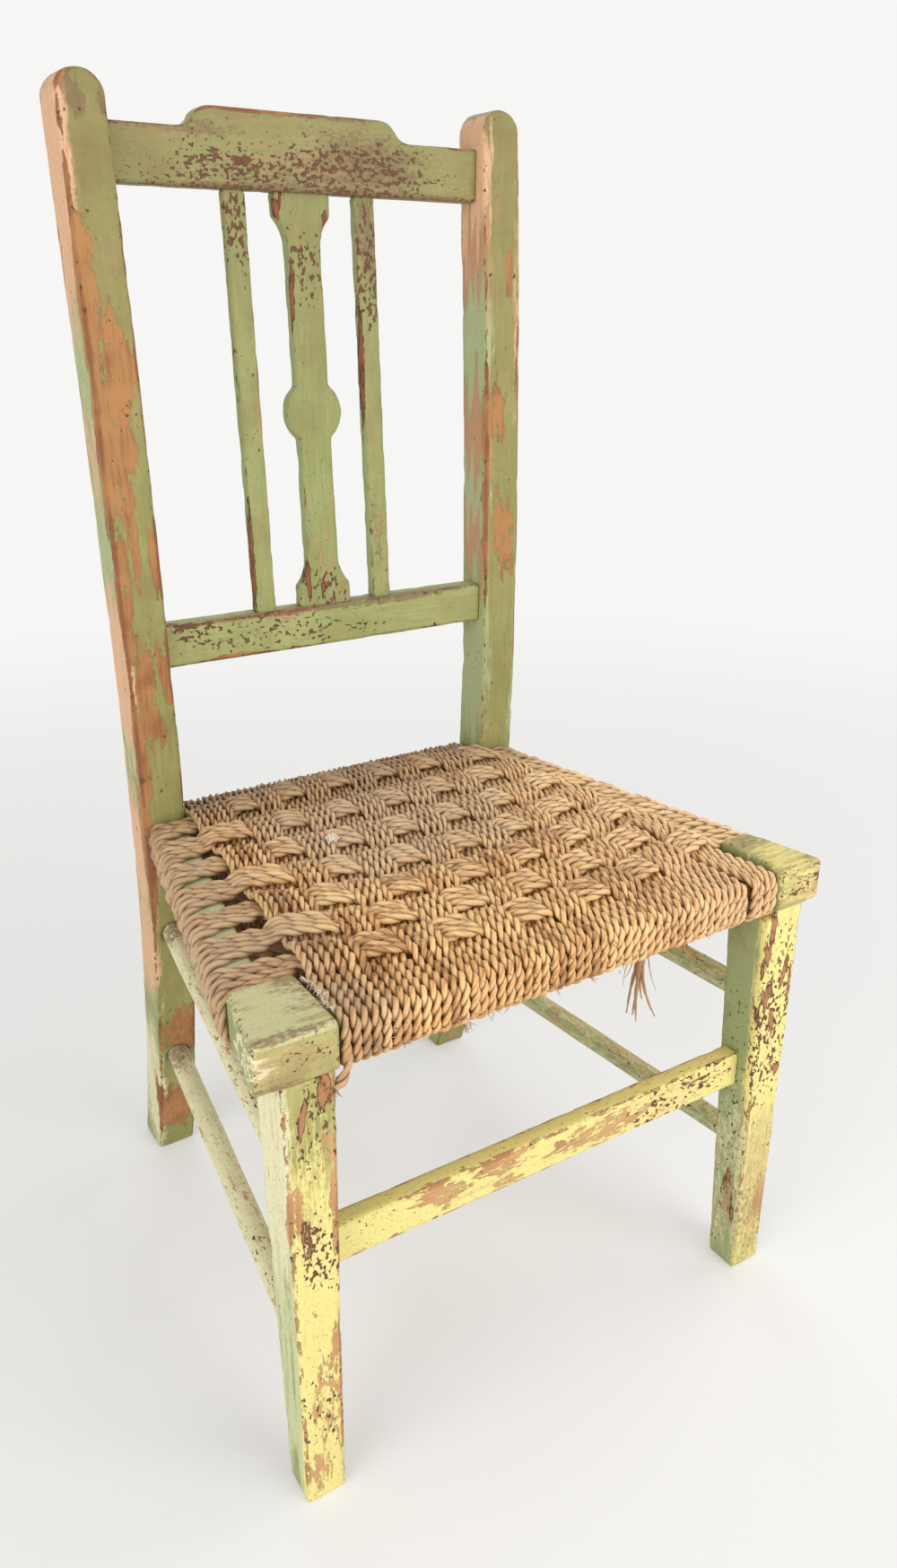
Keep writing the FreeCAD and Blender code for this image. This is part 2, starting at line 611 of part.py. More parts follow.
# Front legs: tapered and square, from front and side outlines, with a round tenon into the corner block.
leg_front = [
    (leg_inner("0"), "0"),
    (leg_outer("0"), "0"),
    (leg_outer("Dims.leg_length"), dim("leg_length")),
    (leg_inner("Dims.leg_length"), dim("leg_length")),
]
leg_side = [
    (FRONT, "0"),
    (leg_back("0"), "0"),
    (leg_back("Dims.leg_length"), dim("leg_length")),
    (FRONT, dim("leg_length")),
]
leg_taper = crossed("leg_taper", outline("leg_front", "front", leg_front),
                    outline("leg_side", "side", leg_side))
leg_eased = flatten("leg_eased", leg_taper, "Dims.board_edge_flat", along(Vector(0, 0, 1)))
leg_tenon = rod("leg_tenon", leg_top - tenon_up, leg_top + tenon_up, dim("leg_tenon_radius"))
leg_whole = fuse("leg_whole", leg_eased, leg_tenon)
leg_sockets = fuse("leg_sockets", stretcher_socket, *dowel_holes)
leg_drilled = cut("leg_drilled", leg_whole, leg_sockets)
# On the right the cord runs past the block's end, so the top of that leg is cut away under the rail.
NOTCH_BOTTOM = f"({RAIL_BOTTOM} - Dims.cord_diameter - 2 * Dims.cord_clearance)"
cord_notch = box("cord_notch", (f"{BLOCK_RIGHT_END} - Dims.leg_top_width", f"{FRONT} - Dims.rail_setback",
                                NOTCH_BOTTOM),
                 (dim("leg_top_width"), "Dims.leg_top_depth + 2 * Dims.rail_setback",
                  f"{RAIL_BOTTOM} - {NOTCH_BOTTOM}"))
keep("front_leg_right", cut("leg_notched", leg_drilled, cord_notch))
keep("front_leg_left", mirror("leg_mirror", leg_drilled))

# Rear posts: side and front outlines of the sawn post, leaned outwards a little and cut level at the floor.
SPREAD = "((Dims.post_outer_top - Dims.post_outer_floor) / Dims.chair_height)"
STRETCH = f"sqrt(1 + {SPREAD}^2)"
POST_TOP = f"(Dims.chair_height * {STRETCH})"
POST_FOOT = f"(-Dims.post_width * {SPREAD} * {STRETCH})"
post_base = Vector(value("Dims.post_outer_floor - Dims.post_width / 2"), 0, 0)
post_lean = Rotation(Vector(0, 1, 0), math.degrees(math.atan(value(SPREAD))))
post_side = [
    (post_face(POST_FOOT), POST_FOOT, dim("foot_sweep_radius"), ROUND),
    (post_face(POST_FOOT, "Dims.post_depth"), POST_FOOT),
    (f"{WAIST} + Dims.post_depth", dim("post_waist_height"), FOOT_BACK_RADIUS, HOLLOW),
    (post_face(POST_TOP, "Dims.post_depth"), POST_TOP, "Dims.back_sweep_radius - Dims.post_depth", HOLLOW),
    (post_face(POST_TOP), POST_TOP),
    (WAIST, dim("post_waist_height"), dim("back_sweep_radius"), ROUND),
]
POST_HALF = f"(Dims.post_width / 2 / {STRETCH})"
POST_SPRING = f"({POST_TOP} - {POST_HALF})"
post_front = [
    (f"-{POST_HALF}", POST_FOOT),
    (POST_HALF, POST_FOOT),
    (POST_HALF, POST_SPRING),
    ("0", POST_TOP, POST_HALF, ROUND),
    (f"-{POST_HALF}", POST_SPRING, POST_HALF, ROUND),
]
post_sawn = crossed("post_sawn",
                    outline("post_front", "front", post_front, post_base, post_lean * PLANES["front"]),
                    outline("post_side", "side", post_side, post_base, post_lean * PLANES["side"]))
post_eased = flatten("post_eased", post_sawn, "Dims.post_edge_flat",
                     lambda edge: edge.Length > value("Dims.post_width"))
below_floor = box("below_floor", ("0", "-Dims.overall_depth", "-Dims.post_width"),
                  ("2 * Dims.post_outer_top", "2 * Dims.overall_depth", dim("post_width")))
post_sockets = [crest_socket, lower_socket, back_socket, side_sockets[1], *dowel_holes]
post = cut("post", post_eased, below_floor, *post_sockets)
keep("rear_post_right", post)
keep("rear_post_left", mirror("post_mirror", post))

# Woven seat: flat bands of cord, wound round the rails as warp (front to back) and weft (side to side).
# Where bands cross, one lies on the rails' level and the other rides over it, above and below alike.
# Long use has pushed the middle of the weft rows forward, and the last row back, so the rows are bowed.
CORD = value("Dims.cord_diameter")
CLEARANCE = value("Dims.cord_clearance")
LIFT = CORD + CLEARANCE
CORNER = value("Dims.rail_edge_radius") + CLEARANCE + CORD
UPPER = value(RAIL_TOP) + CLEARANCE
LOWER = value(RAIL_BOTTOM) - CLEARANCE
WARP_STRANDS = (6, 4, 4, 4, 4, 4, 4, 4, 4, 4, 5, 5)
WARPS = len(WARP_STRANDS)
WARP_SHARES = [sum(WARP_STRANDS[:count]) / sum(WARP_STRANDS) for count in range(WARPS + 1)]
WEFTS = int(value("Dims.weft_count"))
WARP_GAP = value("Dims.warp_gap")
FRONT_Y = value(FRONT)
SEAT_END_Y = value(SEAT_END)
WEFT_FIRST = value(f"{BLOCK_BACK} + Dims.weft_front_margin")
WEFT_REACH = value(f"{SEAT_END} - Dims.weft_back_margin") - WEFT_FIRST
WEFT_PITCH = WEFT_REACH / (WEFTS - 1 + value("Dims.weft_fill"))
WEFT_WIDTH = WEFT_PITCH * value("Dims.weft_fill")
WEFT_RAMP = WEFT_PITCH * value("Dims.weft_ramp")
BOW_FRONT = WEFT_PITCH * value("Dims.weft_bow_front")
BOW_MIDDLE = WEFT_PITCH * value("Dims.weft_bow_middle")
BOW_BACK = WEFT_PITCH * value("Dims.weft_bow_back")
BOW_BEND = 2 * (BOW_FRONT + BOW_BACK - 2 * BOW_MIDDLE)
WARP_MARGIN = value("Dims.warp_margin")
WARP_FRONT = (value(BLOCK_LEFT_END) + WARP_MARGIN, value(BLOCK_RIGHT_END) - WARP_MARGIN)
WARP_BACK = (WARP_MARGIN - value(BACK_REACH), value(BACK_REACH) - WARP_MARGIN)


def warp_border(index, depth):
    """X of the border between two warp bands: the bands fan out from the back to the front."""
    share = (depth - FRONT_Y) / (SEAT_END_Y - FRONT_Y)
    left = WARP_FRONT[0] + (WARP_BACK[0] - WARP_FRONT[0]) * share
    right = WARP_FRONT[1] + (WARP_BACK[1] - WARP_FRONT[1]) * share
    return left + (right - left) * WARP_SHARES[index]


def rides_over(warp, weft):
    """True where a warp band lies over a weft band: a plain checker."""
    return (warp + weft) % 2 == 0


def row_bow(weft, index):
    """How far a weft band lies forward of its ends, where it crosses a border of the warp bands."""
    row = weft / (WEFTS - 1)
    deepest = BOW_FRONT + (BOW_BACK - BOW_FRONT - BOW_BEND) * row + BOW_BEND * row ** 2
    return 4 * deepest * WARP_SHARES[index] * (1 - WARP_SHARES[index])


def band_edges(low, high, ramps, inset=0.0):
    """Closed run of lines and arcs round two rails, as (run, height) points.

    Ramps are (start, end, rising) along the run; the inner side of a band, at an inset, has square corners.
    """
    left, right = low - CLEARANCE - CORD + inset, high + CLEARANCE + CORD - inset
    top, bottom = UPPER + CORD - inset, LOWER - CORD + inset
    radius = 0 if inset else CORNER
    run = [(left + radius, 0)]
    for start, end, rising in ramps:
        run += [(start, 0 if rising else LIFT), (end, LIFT if rising else 0)]
    run.append((right - radius, 0))
    above = [(u, top + rise) for u, rise in run]
    below = [(u, bottom - rise) for u, rise in reversed(run)]
    sides = [(right, top - radius), (right, bottom + radius), (left, bottom + radius), (left, top - radius)]
    edges = list(zip(above, above[1:])) + [(sides[0], sides[1])]
    edges += list(zip(below, below[1:])) + [(sides[2], sides[3])]
    if radius:
        bend = radius * (1 - math.sqrt(0.5))
        edges.insert(len(above) - 1, (above[-1], (right - bend, top - bend), sides[0]))
        edges.insert(len(above) + 1, (sides[1], (right - bend, bottom + bend), below[0]))
        edges.insert(-1, (below[-1], (left + bend, bottom + bend), sides[2]))
        edges.append((sides[3], (left + bend, top - bend), above[0]))
    return edges


def band_wire(edges, place):
    """Wire from (run, height) edges, each point put in the chair by place(run, height)."""
    shapes = []
    for edge in edges:
        points = [place(*point) for point in edge]
        shapes.append(Part.Arc(*points).toShape() if len(points) == 3 else Part.makeLine(*points))
    return Part.Wire(shapes)


def band(name, sides, insides, strip=None):
    """Closed band between two edge outlines, hollow inside, and kept within a strip if one is given.

    Each outline is (edges, place).
    """
    outer = Part.makeLoft([band_wire(*side) for side in sides], True, True)
    inner = Part.makeLoft([band_wire(*side) for side in insides], True, True)
    loop = outer.cut(inner)
    if strip:
        loop = loop.common(strip)
    feature = doc.addObject("Part::Feature", name)
    feature.Shape = loop.Solids[0]
    keep(name, feature)


def warp_ramps(warp, near, far, shift):
    """Ramps of a warp band, clear of the weft bands it goes over.

    They are for a line along the near border, moved by a shift towards the far one.
    """
    width = warp_border(max(near, far), 0) - warp_border(min(near, far), 0)
    part = shift / width
    ramps = []
    for weft in range(WEFTS):
        if not rides_over(warp, weft):
            continue
        start = WEFT_FIRST + weft * WEFT_PITCH
        start -= row_bow(weft, near) * (1 - part) + row_bow(weft, far) * part
        end = start + WEFT_WIDTH
        ramps.append((start - CLEARANCE - WEFT_RAMP, start - CLEARANCE, True))
        ramps.append((end + CLEARANCE, end + CLEARANCE + WEFT_RAMP, False))
    return ramps


def weft_ramps(weft, depth):
    """Ramps of a weft band at a depth, in the gaps between the warp bands."""
    reach = WARP_GAP / 2 - CLEARANCE
    ramps = []
    for warp in range(WARPS):
        if rides_over(warp, weft):
            continue
        start, end = warp_border(warp, depth), warp_border(warp + 1, depth)
        ramps += [(start - reach, start + reach, True), (end - reach, end + reach, False)]
    return ramps


def row_strip(weft):
    """Block that holds one bowed weft row: straight over the side rails, bent at each warp border."""
    front, back = [], []
    for index in range(WARPS + 1):
        start = WEFT_FIRST + weft * WEFT_PITCH - row_bow(weft, index)
        front.append((warp_border(index, start), start))
        back.append((warp_border(index, start + WEFT_WIDTH), start + WEFT_WIDTH))
    far = value("2 * Dims.block_outer")
    for line in (front, back):
        line.insert(0, (-far, line[0][1]))
        line.append((far, line[-1][1]))
    corners = [Vector(x, y, 0) for x, y in front + back[::-1]]
    face = Part.Face(Part.makePolygon(corners + corners[:1]))
    return face.extrude(Vector(0, 0, value(f"2 * {BLOCK_TOP}")))


for warp in range(WARPS):

    def edge_at(near, far, shift, inset):
        """Edge outline of the band along its near border, moved by a shift towards the far one."""
        low = value(BAR_FRONT)
        high = value(f"{BACK_RAIL_FRONT} + Dims.back_rail_depth")
        edges = band_edges(low, high, warp_ramps(warp, near, far, shift), inset)
        aside = shift if far > near else -shift
        return edges, lambda run, height: Vector(warp_border(near, run) + aside, run, height)

    half = WARP_GAP / 2
    band(f"seat_warp_{warp + 1:02d}",
         [edge_at(warp, warp + 1, half, 0), edge_at(warp + 1, warp, half, 0)],
         [edge_at(warp, warp + 1, half - CORD, CORD), edge_at(warp + 1, warp, half - CORD, CORD)])

for weft in range(WEFTS):

    def side_at(depth, inset):
        """Edge outline of the band's sheet at a depth, round both side rails."""
        reach = value(seat_side(str(depth)))
        edges = band_edges(-reach, reach, weft_ramps(weft, depth), inset)
        return edges, lambda run, height: Vector(run, depth, height)

    bows = [row_bow(weft, index) for index in range(WARPS + 1)]
    start = WEFT_FIRST + weft * WEFT_PITCH - max(bows) - CORD
    end = WEFT_FIRST + weft * WEFT_PITCH - min(bows) + WEFT_WIDTH + CORD
    band(f"seat_weft_{weft + 1}", [side_at(start, 0), side_at(end, 0)],
         [side_at(start - CORD, CORD), side_at(end + CORD, CORD)], row_strip(weft))

doc.recompute()

faults = [item.Name for item in doc.Objects if "Invalid" in item.State or "Error" in item.State]
for label, solid in pieces.items():
    shape = solid.Shape
    if shape.isNull() or not shape.isValid() or len(shape.Solids) != 1:
        faults.append(label)
if faults:
    raise RuntimeError("Not sound: " + ", ".join(faults))

os.makedirs("parts", exist_ok=True)
for label, solid in pieces.items():
    solid.Shape.exportStep(f"parts/{label}.step")
print(f"{len(pieces)} pieces written")
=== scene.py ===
"""Child chair: worn green paint on a joined wooden frame, and a seat of interlaced twisted cord."""
import logging
import math
import random
from collections.abc import Callable
from dataclasses import dataclass, field
from enum import Enum
from functools import partial

import bmesh
import bpy
import numpy as np
from mathutils import Matrix, Vector, noise
from mathutils.bvhtree import BVHTree
from mathutils.kdtree import KDTree


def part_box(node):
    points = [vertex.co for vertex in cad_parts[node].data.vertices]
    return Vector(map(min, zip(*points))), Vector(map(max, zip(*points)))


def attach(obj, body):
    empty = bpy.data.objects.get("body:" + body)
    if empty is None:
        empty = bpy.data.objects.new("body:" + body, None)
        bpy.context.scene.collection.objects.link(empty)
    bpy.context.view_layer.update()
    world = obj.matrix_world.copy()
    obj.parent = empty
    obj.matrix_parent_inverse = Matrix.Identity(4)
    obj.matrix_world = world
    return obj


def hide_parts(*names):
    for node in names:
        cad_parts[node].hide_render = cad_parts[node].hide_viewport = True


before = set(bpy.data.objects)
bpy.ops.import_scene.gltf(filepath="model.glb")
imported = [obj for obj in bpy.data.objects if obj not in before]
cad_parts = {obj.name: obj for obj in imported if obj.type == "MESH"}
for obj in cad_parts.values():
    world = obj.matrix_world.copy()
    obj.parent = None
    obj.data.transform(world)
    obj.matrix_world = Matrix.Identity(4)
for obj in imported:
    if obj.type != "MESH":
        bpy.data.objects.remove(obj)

LOG = logging.getLogger("child_chair")
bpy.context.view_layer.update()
MM = 0.001
BODY = "root"
EVEN = (1.0, 1.0, 1.0)
Socket = bpy.types.NodeSocket
Pair = tuple[float, float]
Range = tuple[float, float]
Triple = tuple[float, float, float]
Colour = tuple[float, float, float]


def metres(x: float, y: float, z: float) -> Vector:
    """Point in metres from a place in millimetres."""
    return Vector((x, y, z)) * MM


def smooth(value: float, low: float, high: float) -> float:
    """Smooth step from 0 at low to 1 at high."""
    share = min(max((value - low) / (high - low), 0.0), 1.0)
    return share * share * (3.0 - 2.0 * share)


def evaluated_mesh(obj: bpy.types.Object) -> bpy.types.Mesh:
    """Plain mesh of an object with its modifiers worked out."""
    ready = obj.evaluated_get(bpy.context.evaluated_depsgraph_get())
    return bpy.data.meshes.new_from_object(ready)


def placed(name: str, data: bpy.types.ID) -> bpy.types.Object:
    """Puts a new object at the origin.

    Args:
        name: Name of the object.
        data: Mesh, curve, lamp or camera that it shows.

    Returns:
        The new object.
    """
    obj = bpy.data.objects.new(name, data)
    bpy.context.scene.collection.objects.link(obj)
    return obj


class Layer(Enum):
    """What shows where the top coat of paint is worn or tinted, or where sunlight is painted on it."""

    BARE = "bare orange wood"
    RUST = "dusty red undercoat"
    SALMON = "faded pink primer"
    MINT = "older mint coat"
    CREAM = "chalky cream coat"
    # Painted light: the pale yellow of front faces that sunlight falls on
    PAINTED_SUN = "sun-bleached paint"
    GRIME = "grey-brown rubbing"
    FLAKE = "single dark flake"
    CHIPS = "small dark chips"


class Axis(Enum):
    """Way the grain of a piece runs, as the stretch of its streaks."""

    ACROSS = (0.06, 1.0, 1.0)
    DEEP = (1.0, 0.06, 1.0)
    UPRIGHT = (1.0, 1.0, 0.06)

    def stretch(self, least: float) -> Triple:
        """Stretch of shorter streaks, with the least factor along the grain."""
        return tuple(least + (1.0 - least) * s for s in self.value)

    def push(self, across: float, along: float) -> Triple:
        """Push on each axis, further along the grain."""
        return tuple(across + along * (1.0 - s) for s in self.value)


@dataclass(frozen=True)
class Patch:
    """Ellipsoid in millimetres inside which a layer shows.

    The weight says how completely the layer shows at the middle of the patch.
    """

    layer: Layer
    centre: Triple
    reach: Triple
    weight: float = 1.0


def patches(make: Callable[..., Patch], layer: Layer, *measures: tuple[float, ...]) -> list[Patch]:
    """Patches of one layer, one for each set of measures that the maker takes."""
    return [make(layer, *each) for each in measures]


class NodeWork:
    """Short calls that add and join the nodes of one tree."""

    def __init__(self, tree: bpy.types.NodeTree) -> None:
        """Starts from the tree without any nodes."""
        self.tree = tree
        tree.nodes.clear()

    def add(self, kind: str, feeds: dict[str, object] | None = None, **settings: object) -> bpy.types.Node:
        """Adds a node.

        Args:
            kind: Type of the node.
            feeds: Source or plain value of its inputs, by their identifiers.
            settings: Properties of the node.

        Returns:
            The new node.
        """
        node = self.tree.nodes.new(kind)
        for key, setting in settings.items():
            setattr(node, key, setting)
        for identifier, source in (feeds or {}).items():
            self.feed(next(i for i in node.inputs if i.identifier == identifier), source)
        return node

    def feed(self, socket: Socket, source: object) -> None:
        """Joins an input to its source.

        Args:
            socket: The input.
            source: Another socket, or a plain value.
        """
        if isinstance(source, Socket):
            self.tree.links.new(source, socket)
        else:
            socket.default_value = source

    def math(self, operation: str, *terms: object) -> Socket:
        """Adds one arithmetic operation.

        Args:
            operation: Name of the operation.
            terms: Sockets or numbers that it works on.

        Returns:
            The result's socket.
        """
        node = self.add("ShaderNodeMath", operation=operation)
        for socket, term in zip(node.inputs, terms):
            self.feed(socket, term)
        return node.outputs[0]

    def axes(self, vector: Socket) -> bpy.types.NodeOutputs:
        """Sockets X, Y and Z of a vector."""
        return self.add("ShaderNodeSeparateXYZ", {"Vector": vector}).outputs


class Shading(NodeWork):
    """Nodes of one material."""

    def __init__(self, name: str) -> None:
        """Starts a material that has one Principled shader.

        Args:
            name: Name of the material.
        """
        self.material = bpy.data.materials.new(name)
        self.material.use_nodes = True
        super().__init__(self.material.node_tree)
        self.shader = self.add("ShaderNodeBsdfPrincipled")
        self.surface = self.add("ShaderNodeOutputMaterial").inputs["Surface"]
        self.feed(self.surface, self.shader.outputs["BSDF"])

    def show(self, name: str, source: object) -> None:
        """Feeds an input of the Principled shader."""
        self.feed(self.shader.inputs[name], source)

    def vector(self, operation: str, first: object, second: object) -> Socket:
        """Result of one vector operation."""
        feeds = {"Vector": first, "Vector_001": second}
        return self.add("ShaderNodeVectorMath", feeds, operation=operation).outputs["Vector"]

    def length(self, vector: Socket) -> Socket:
        """Length of a vector."""
        return self.add("ShaderNodeVectorMath", {"Vector": vector}, operation="LENGTH").outputs["Value"]

    def step(self, value: Socket, low: float, high: float) -> Socket:
        """Smooth step of a value from 0 at low to 1 at high."""
        feeds = {"Value": value, "From Min": low, "From Max": high}
        return self.add("ShaderNodeMapRange", feeds, interpolation_type="SMOOTHSTEP").outputs["Result"]

    def mix(self, share: object, first: object, second: object) -> Socket:
        """Mixes two colours.

        Args:
            share: Share of the second colour.
            first: Socket or colour that shows at a share of 0.
            second: Socket or colour that shows at a share of 1.

        Returns:
            The colour's socket.
        """
        node = self.add("ShaderNodeMix", data_type="RGBA")
        self.feed(node.inputs["Factor"], share)
        for name, colour in (("A", first), ("B", second)):
            socket = next(i for i in node.inputs if i.name == name and i.type == "RGBA")
            self.feed(socket, (*colour, 1.0) if isinstance(colour, tuple) else colour)
        return next(o for o in node.outputs if o.type == "RGBA")

    def sway(self, base: object, cloud: Socket, weight: float) -> Socket:
        """Base value raised or lowered by how far a cloudy value lies from its middle."""
        return self.math("MULTIPLY_ADD", self.math("SUBTRACT", cloud, 0.5), weight, base)

    def attribute(self, name: str, output: str = "Fac") -> Socket:
        """Value that the mesh carries under a name."""
        return self.add("ShaderNodeAttribute", attribute_name=name).outputs[output]

    def place(self) -> Socket:
        """Place on the chair in millimetres."""
        coordinates = self.add("ShaderNodeTexCoord").outputs["Object"]
        return self.vector("MULTIPLY", coordinates, (1 / MM, 1 / MM, 1 / MM))

    def noise(self, place: Socket, size: float, stretch: Triple = EVEN, detail: float = 3.0,
              roughness: float = 0.55, shift: float = 0.0) -> Socket:
        """Cloudy value round 0.5 with lumps of a size.

        Args:
            place: Coordinates that the lumps follow.
            size: Size of a lump in the units of the coordinates.
            stretch: Factor on each axis; below 1 draws the lumps out.
            detail: Number of finer octaves.
            roughness: Share that each finer octave keeps.
            shift: Offset that gives another pattern.

        Returns:
            The value's socket.
        """
        scaled = self.vector("MULTIPLY", place, tuple(s / size for s in stretch))
        moved = self.vector("ADD", scaled, (shift, shift * 1.7, shift * 2.3))
        feeds = {"Vector": moved, "Scale": 1.0, "Detail": detail, "Roughness": roughness}
        return self.add("ShaderNodeTexNoise", feeds).outputs["Fac"]

    def drift(self, place: Socket, size: float, reach: Triple, stretch: Triple, shift: float) -> Socket:
        """Place pushed about by soft noise, which frays what is drawn on it.

        Args:
            place: Coordinates to push.
            size: Size of the noise's lumps.
            reach: Furthest push on each axis.
            stretch: Factor on each axis; below 1 draws the lumps out.
            shift: Offset that gives another pattern.

        Returns:
            The moved coordinates.
        """
        scaled = self.vector("MULTIPLY", place, tuple(s / size for s in stretch))
        moved = self.vector("ADD", scaled, (shift, shift * 1.3, shift * 2.1))
        cloud = self.add("ShaderNodeTexNoise", {"Vector": moved, "Scale": 1.0, "Detail": 3.0})
        push = self.vector("SUBTRACT", cloud.outputs["Color"], (0.5, 0.5, 0.5))
        return self.vector("ADD", place, self.vector("MULTIPLY", push, tuple(4 * r for r in reach)))

    def bump(self, height: Socket, depth: float, strength: float) -> None:
        """Raises the surface.

        Args:
            height: Height from 0 to 1.
            depth: Height of 1 in millimetres.
            strength: Share of the effect that shows.
        """
        node = self.add("ShaderNodeBump")
        self.feed(node.inputs["Height"], height)
        self.feed(node.inputs["Distance"], depth * MM)
        self.feed(node.inputs["Strength"], strength)
        self.show("Normal", node.outputs["Normal"])


@dataclass(frozen=True)
class WornPaint:
    """Old green paint that has chipped and rubbed off down to orange wood."""

    # Colours of the top coat, of the layers under it, of the soiling on it, and of the painted light and
    # shade on it
    paint: Colour = (0.262, 0.250, 0.080)
    paint_light: Colour = (0.335, 0.325, 0.115)
    # Mottled haze in the paint, and painted shade higher up
    paint_dull_and_shade: Colour = (0.245, 0.185, 0.074)
    # Painted shade of faces that look sideways
    paint_side_shade: Colour = (0.300, 0.355, 0.150)
    # Painted sunlight on lit front faces
    pale: Colour = (0.815, 0.715, 0.262)
    cream: Colour = (0.740, 0.700, 0.430)
    mint: Colour = (0.385, 0.430, 0.215)
    salmon: Colour = (0.700, 0.420, 0.250)
    rust: Colour = (0.490, 0.262, 0.145)
    wood: Colour = (0.440, 0.218, 0.082)
    wood_dark: Colour = (0.250, 0.098, 0.043)
    # Dark brown of rubbing and specks, also the painted shadow along the broken edge of the paint film
    grime_and_film_shadow: Colour = (0.195, 0.122, 0.066)
    flake: Colour = (0.165, 0.074, 0.040)
    chip: Colour = (0.095, 0.044, 0.025)
    # Sizes of the patterns in millimetres
    fleck: float = 3.3
    speck: float = 2.5
    brush: float = 1.9
    cluster: float = 34.0
    haze: float = 24.0
    dust: float = 1.7
    soil: float = 4.5
    soil_patch: float = 18.0
    fibre: float = 1.8
    blotch: float = 22.0
    fray: float = 7.0
    streak: float = 4.0
    # Furthest push of a patch's border in millimetres, across the grain and further along it
    fray_push: Range = (1.6, 13.0)
    streak_push: Range = (2.4, 30.0)
    # Distance from a free edge and height above the floor, in millimetres, over which a change takes place
    edge: Range = (0.1, 1.9)
    shade_height: Range = (400.0, 640.0)
    # Values of a pattern at which something begins to show and is complete
    light_from: Range = (0.42, 0.80)
    side_facing: Range = (0.45, 0.85)
    haze_from: Range = (0.46, 0.72)
    dust_from: Range = (0.52, 0.76)
    soil_from: Range = (0.48, 0.74)
    soil_patch_from: Range = (0.38, 0.62)
    border: Range = (0.22, 0.68)
    border_end: Range = (0.0, 0.15)
    bare_from: Range = (0.50, 0.53)
    film_shadow_from: Range = (0.455, 0.49)
    flake_from: Range = (0.46, 0.50)
    heart_from: Range = (0.55, 0.85)
    chip_from: Range = (0.715, 0.733)
    core_from: Range = (0.745, 0.795)
    dark_from: Range = (0.52, 0.88)
    # Weights of the patterns, and shares of a layer that show at most
    speckle: float = 2.3
    cluster_bare: float = 0.6
    rim_bare: float = 0.60
    cluster_chips: float = 0.16
    rim_chips: float = 0.10
    patch_chips: float = 0.235
    flake_speckle: float = 2.2
    border_fleck: float = 1.3
    border_brush: float = 0.5
    light_mix: float = 0.6
    height_shade_share: float = 0.45
    haze_share: float = 0.5
    dust_share: float = 0.40
    soil_share: float = 0.46
    grime_share: float = 0.75
    film_shadow_share: float = 0.7
    fibre_mix: float = 0.55
    blotch_mix: float = 0.7
    edge_mix: float = 0.22
    patch_end: float = 1.35
    patch_full: float = 0.82
    # Shine, roughness and relief; the thickness of the coat is in millimetres
    shine: float = 0.25
    paint_roughness: float = 0.55
    wood_roughness: float = 0.75
    brush_roughness: float = 0.12
    brush_height: float = 0.35
    coat_thickness: float = 0.22
    relief: float = 0.8

    def material(self, name: str, grain: Axis, worn: list[Patch], edge_wear: float,
                 seed: float) -> bpy.types.Material:
        """Material of one piece.

        Args:
            name: Name of the material.
            grain: Way the grain and the brush marks run.
            worn: Places where lower layers show.
            edge_wear: How much of the edges is rubbed bare, from 0 to 1.
            seed: Offset of the piece's own pattern.

        Returns:
            The finished material.
        """
        shade = Shading(name)
        place = shade.place()
        masks = self.masks(shade, place, grain, worn, seed)
        brush = shade.noise(place, self.brush, grain.value, 3.0, 0.65, seed)
        fleck = shade.noise(place, self.fleck, grain.stretch(0.22), 6.0, 0.72, seed + 3.1)
        cluster = shade.noise(place, self.cluster, EVEN, 2.0, 0.5, seed + 7.7)
        speck = shade.noise(place, self.speck, grain.stretch(0.6), 2.5, 0.55, seed + 11.9)
        rim = shade.math("SUBTRACT", 1.0, shade.step(shade.attribute("edge"), *self.edge))

        # Top coat, with painted sunlight, the older coats and the rubbing that show in it
        coat = self.coat(shade, place, brush, cluster, seed)
        for layer, colour in ((Layer.PAINTED_SUN, self.pale), (Layer.CREAM, self.cream), (Layer.MINT, self.mint),
                              (Layer.SALMON, self.salmon), (Layer.RUST, self.rust)):
            if any(p.layer is layer for p in worn):
                coat = shade.mix(self.blurred(shade, masks[layer], fleck, brush), coat, colour)
        rubbed = self.blurred(shade, masks[Layer.GRIME], speck, brush)
        coat = shade.mix(shade.math("MULTIPLY", rubbed, self.grime_share), coat, self.grime_and_film_shadow)
        coat = self.soiled(shade, place, coat, grain, seed)

        # Bare wood, inside a line of painted shadow where the paint film breaks off
        score = shade.math("MULTIPLY_ADD", fleck, self.speckle, masks[Layer.BARE])
        score = shade.math("MULTIPLY_ADD", cluster, self.cluster_bare, score)
        score = shade.math("MULTIPLY_ADD", rim, self.rim_bare * edge_wear, score)
        score = shade.math("SUBTRACT", score, 0.5 * (self.speckle + self.cluster_bare))
        bare = shade.step(score, *self.bare_from)
        film_shadow = shade.math("SUBTRACT", shade.step(score, *self.film_shadow_from), bare)
        coat = shade.mix(shade.math("MULTIPLY", film_shadow, self.film_shadow_share), coat, self.grime_and_film_shadow)
        surface = shade.mix(bare, coat, self.timber(shade, place, grain, rim, seed))

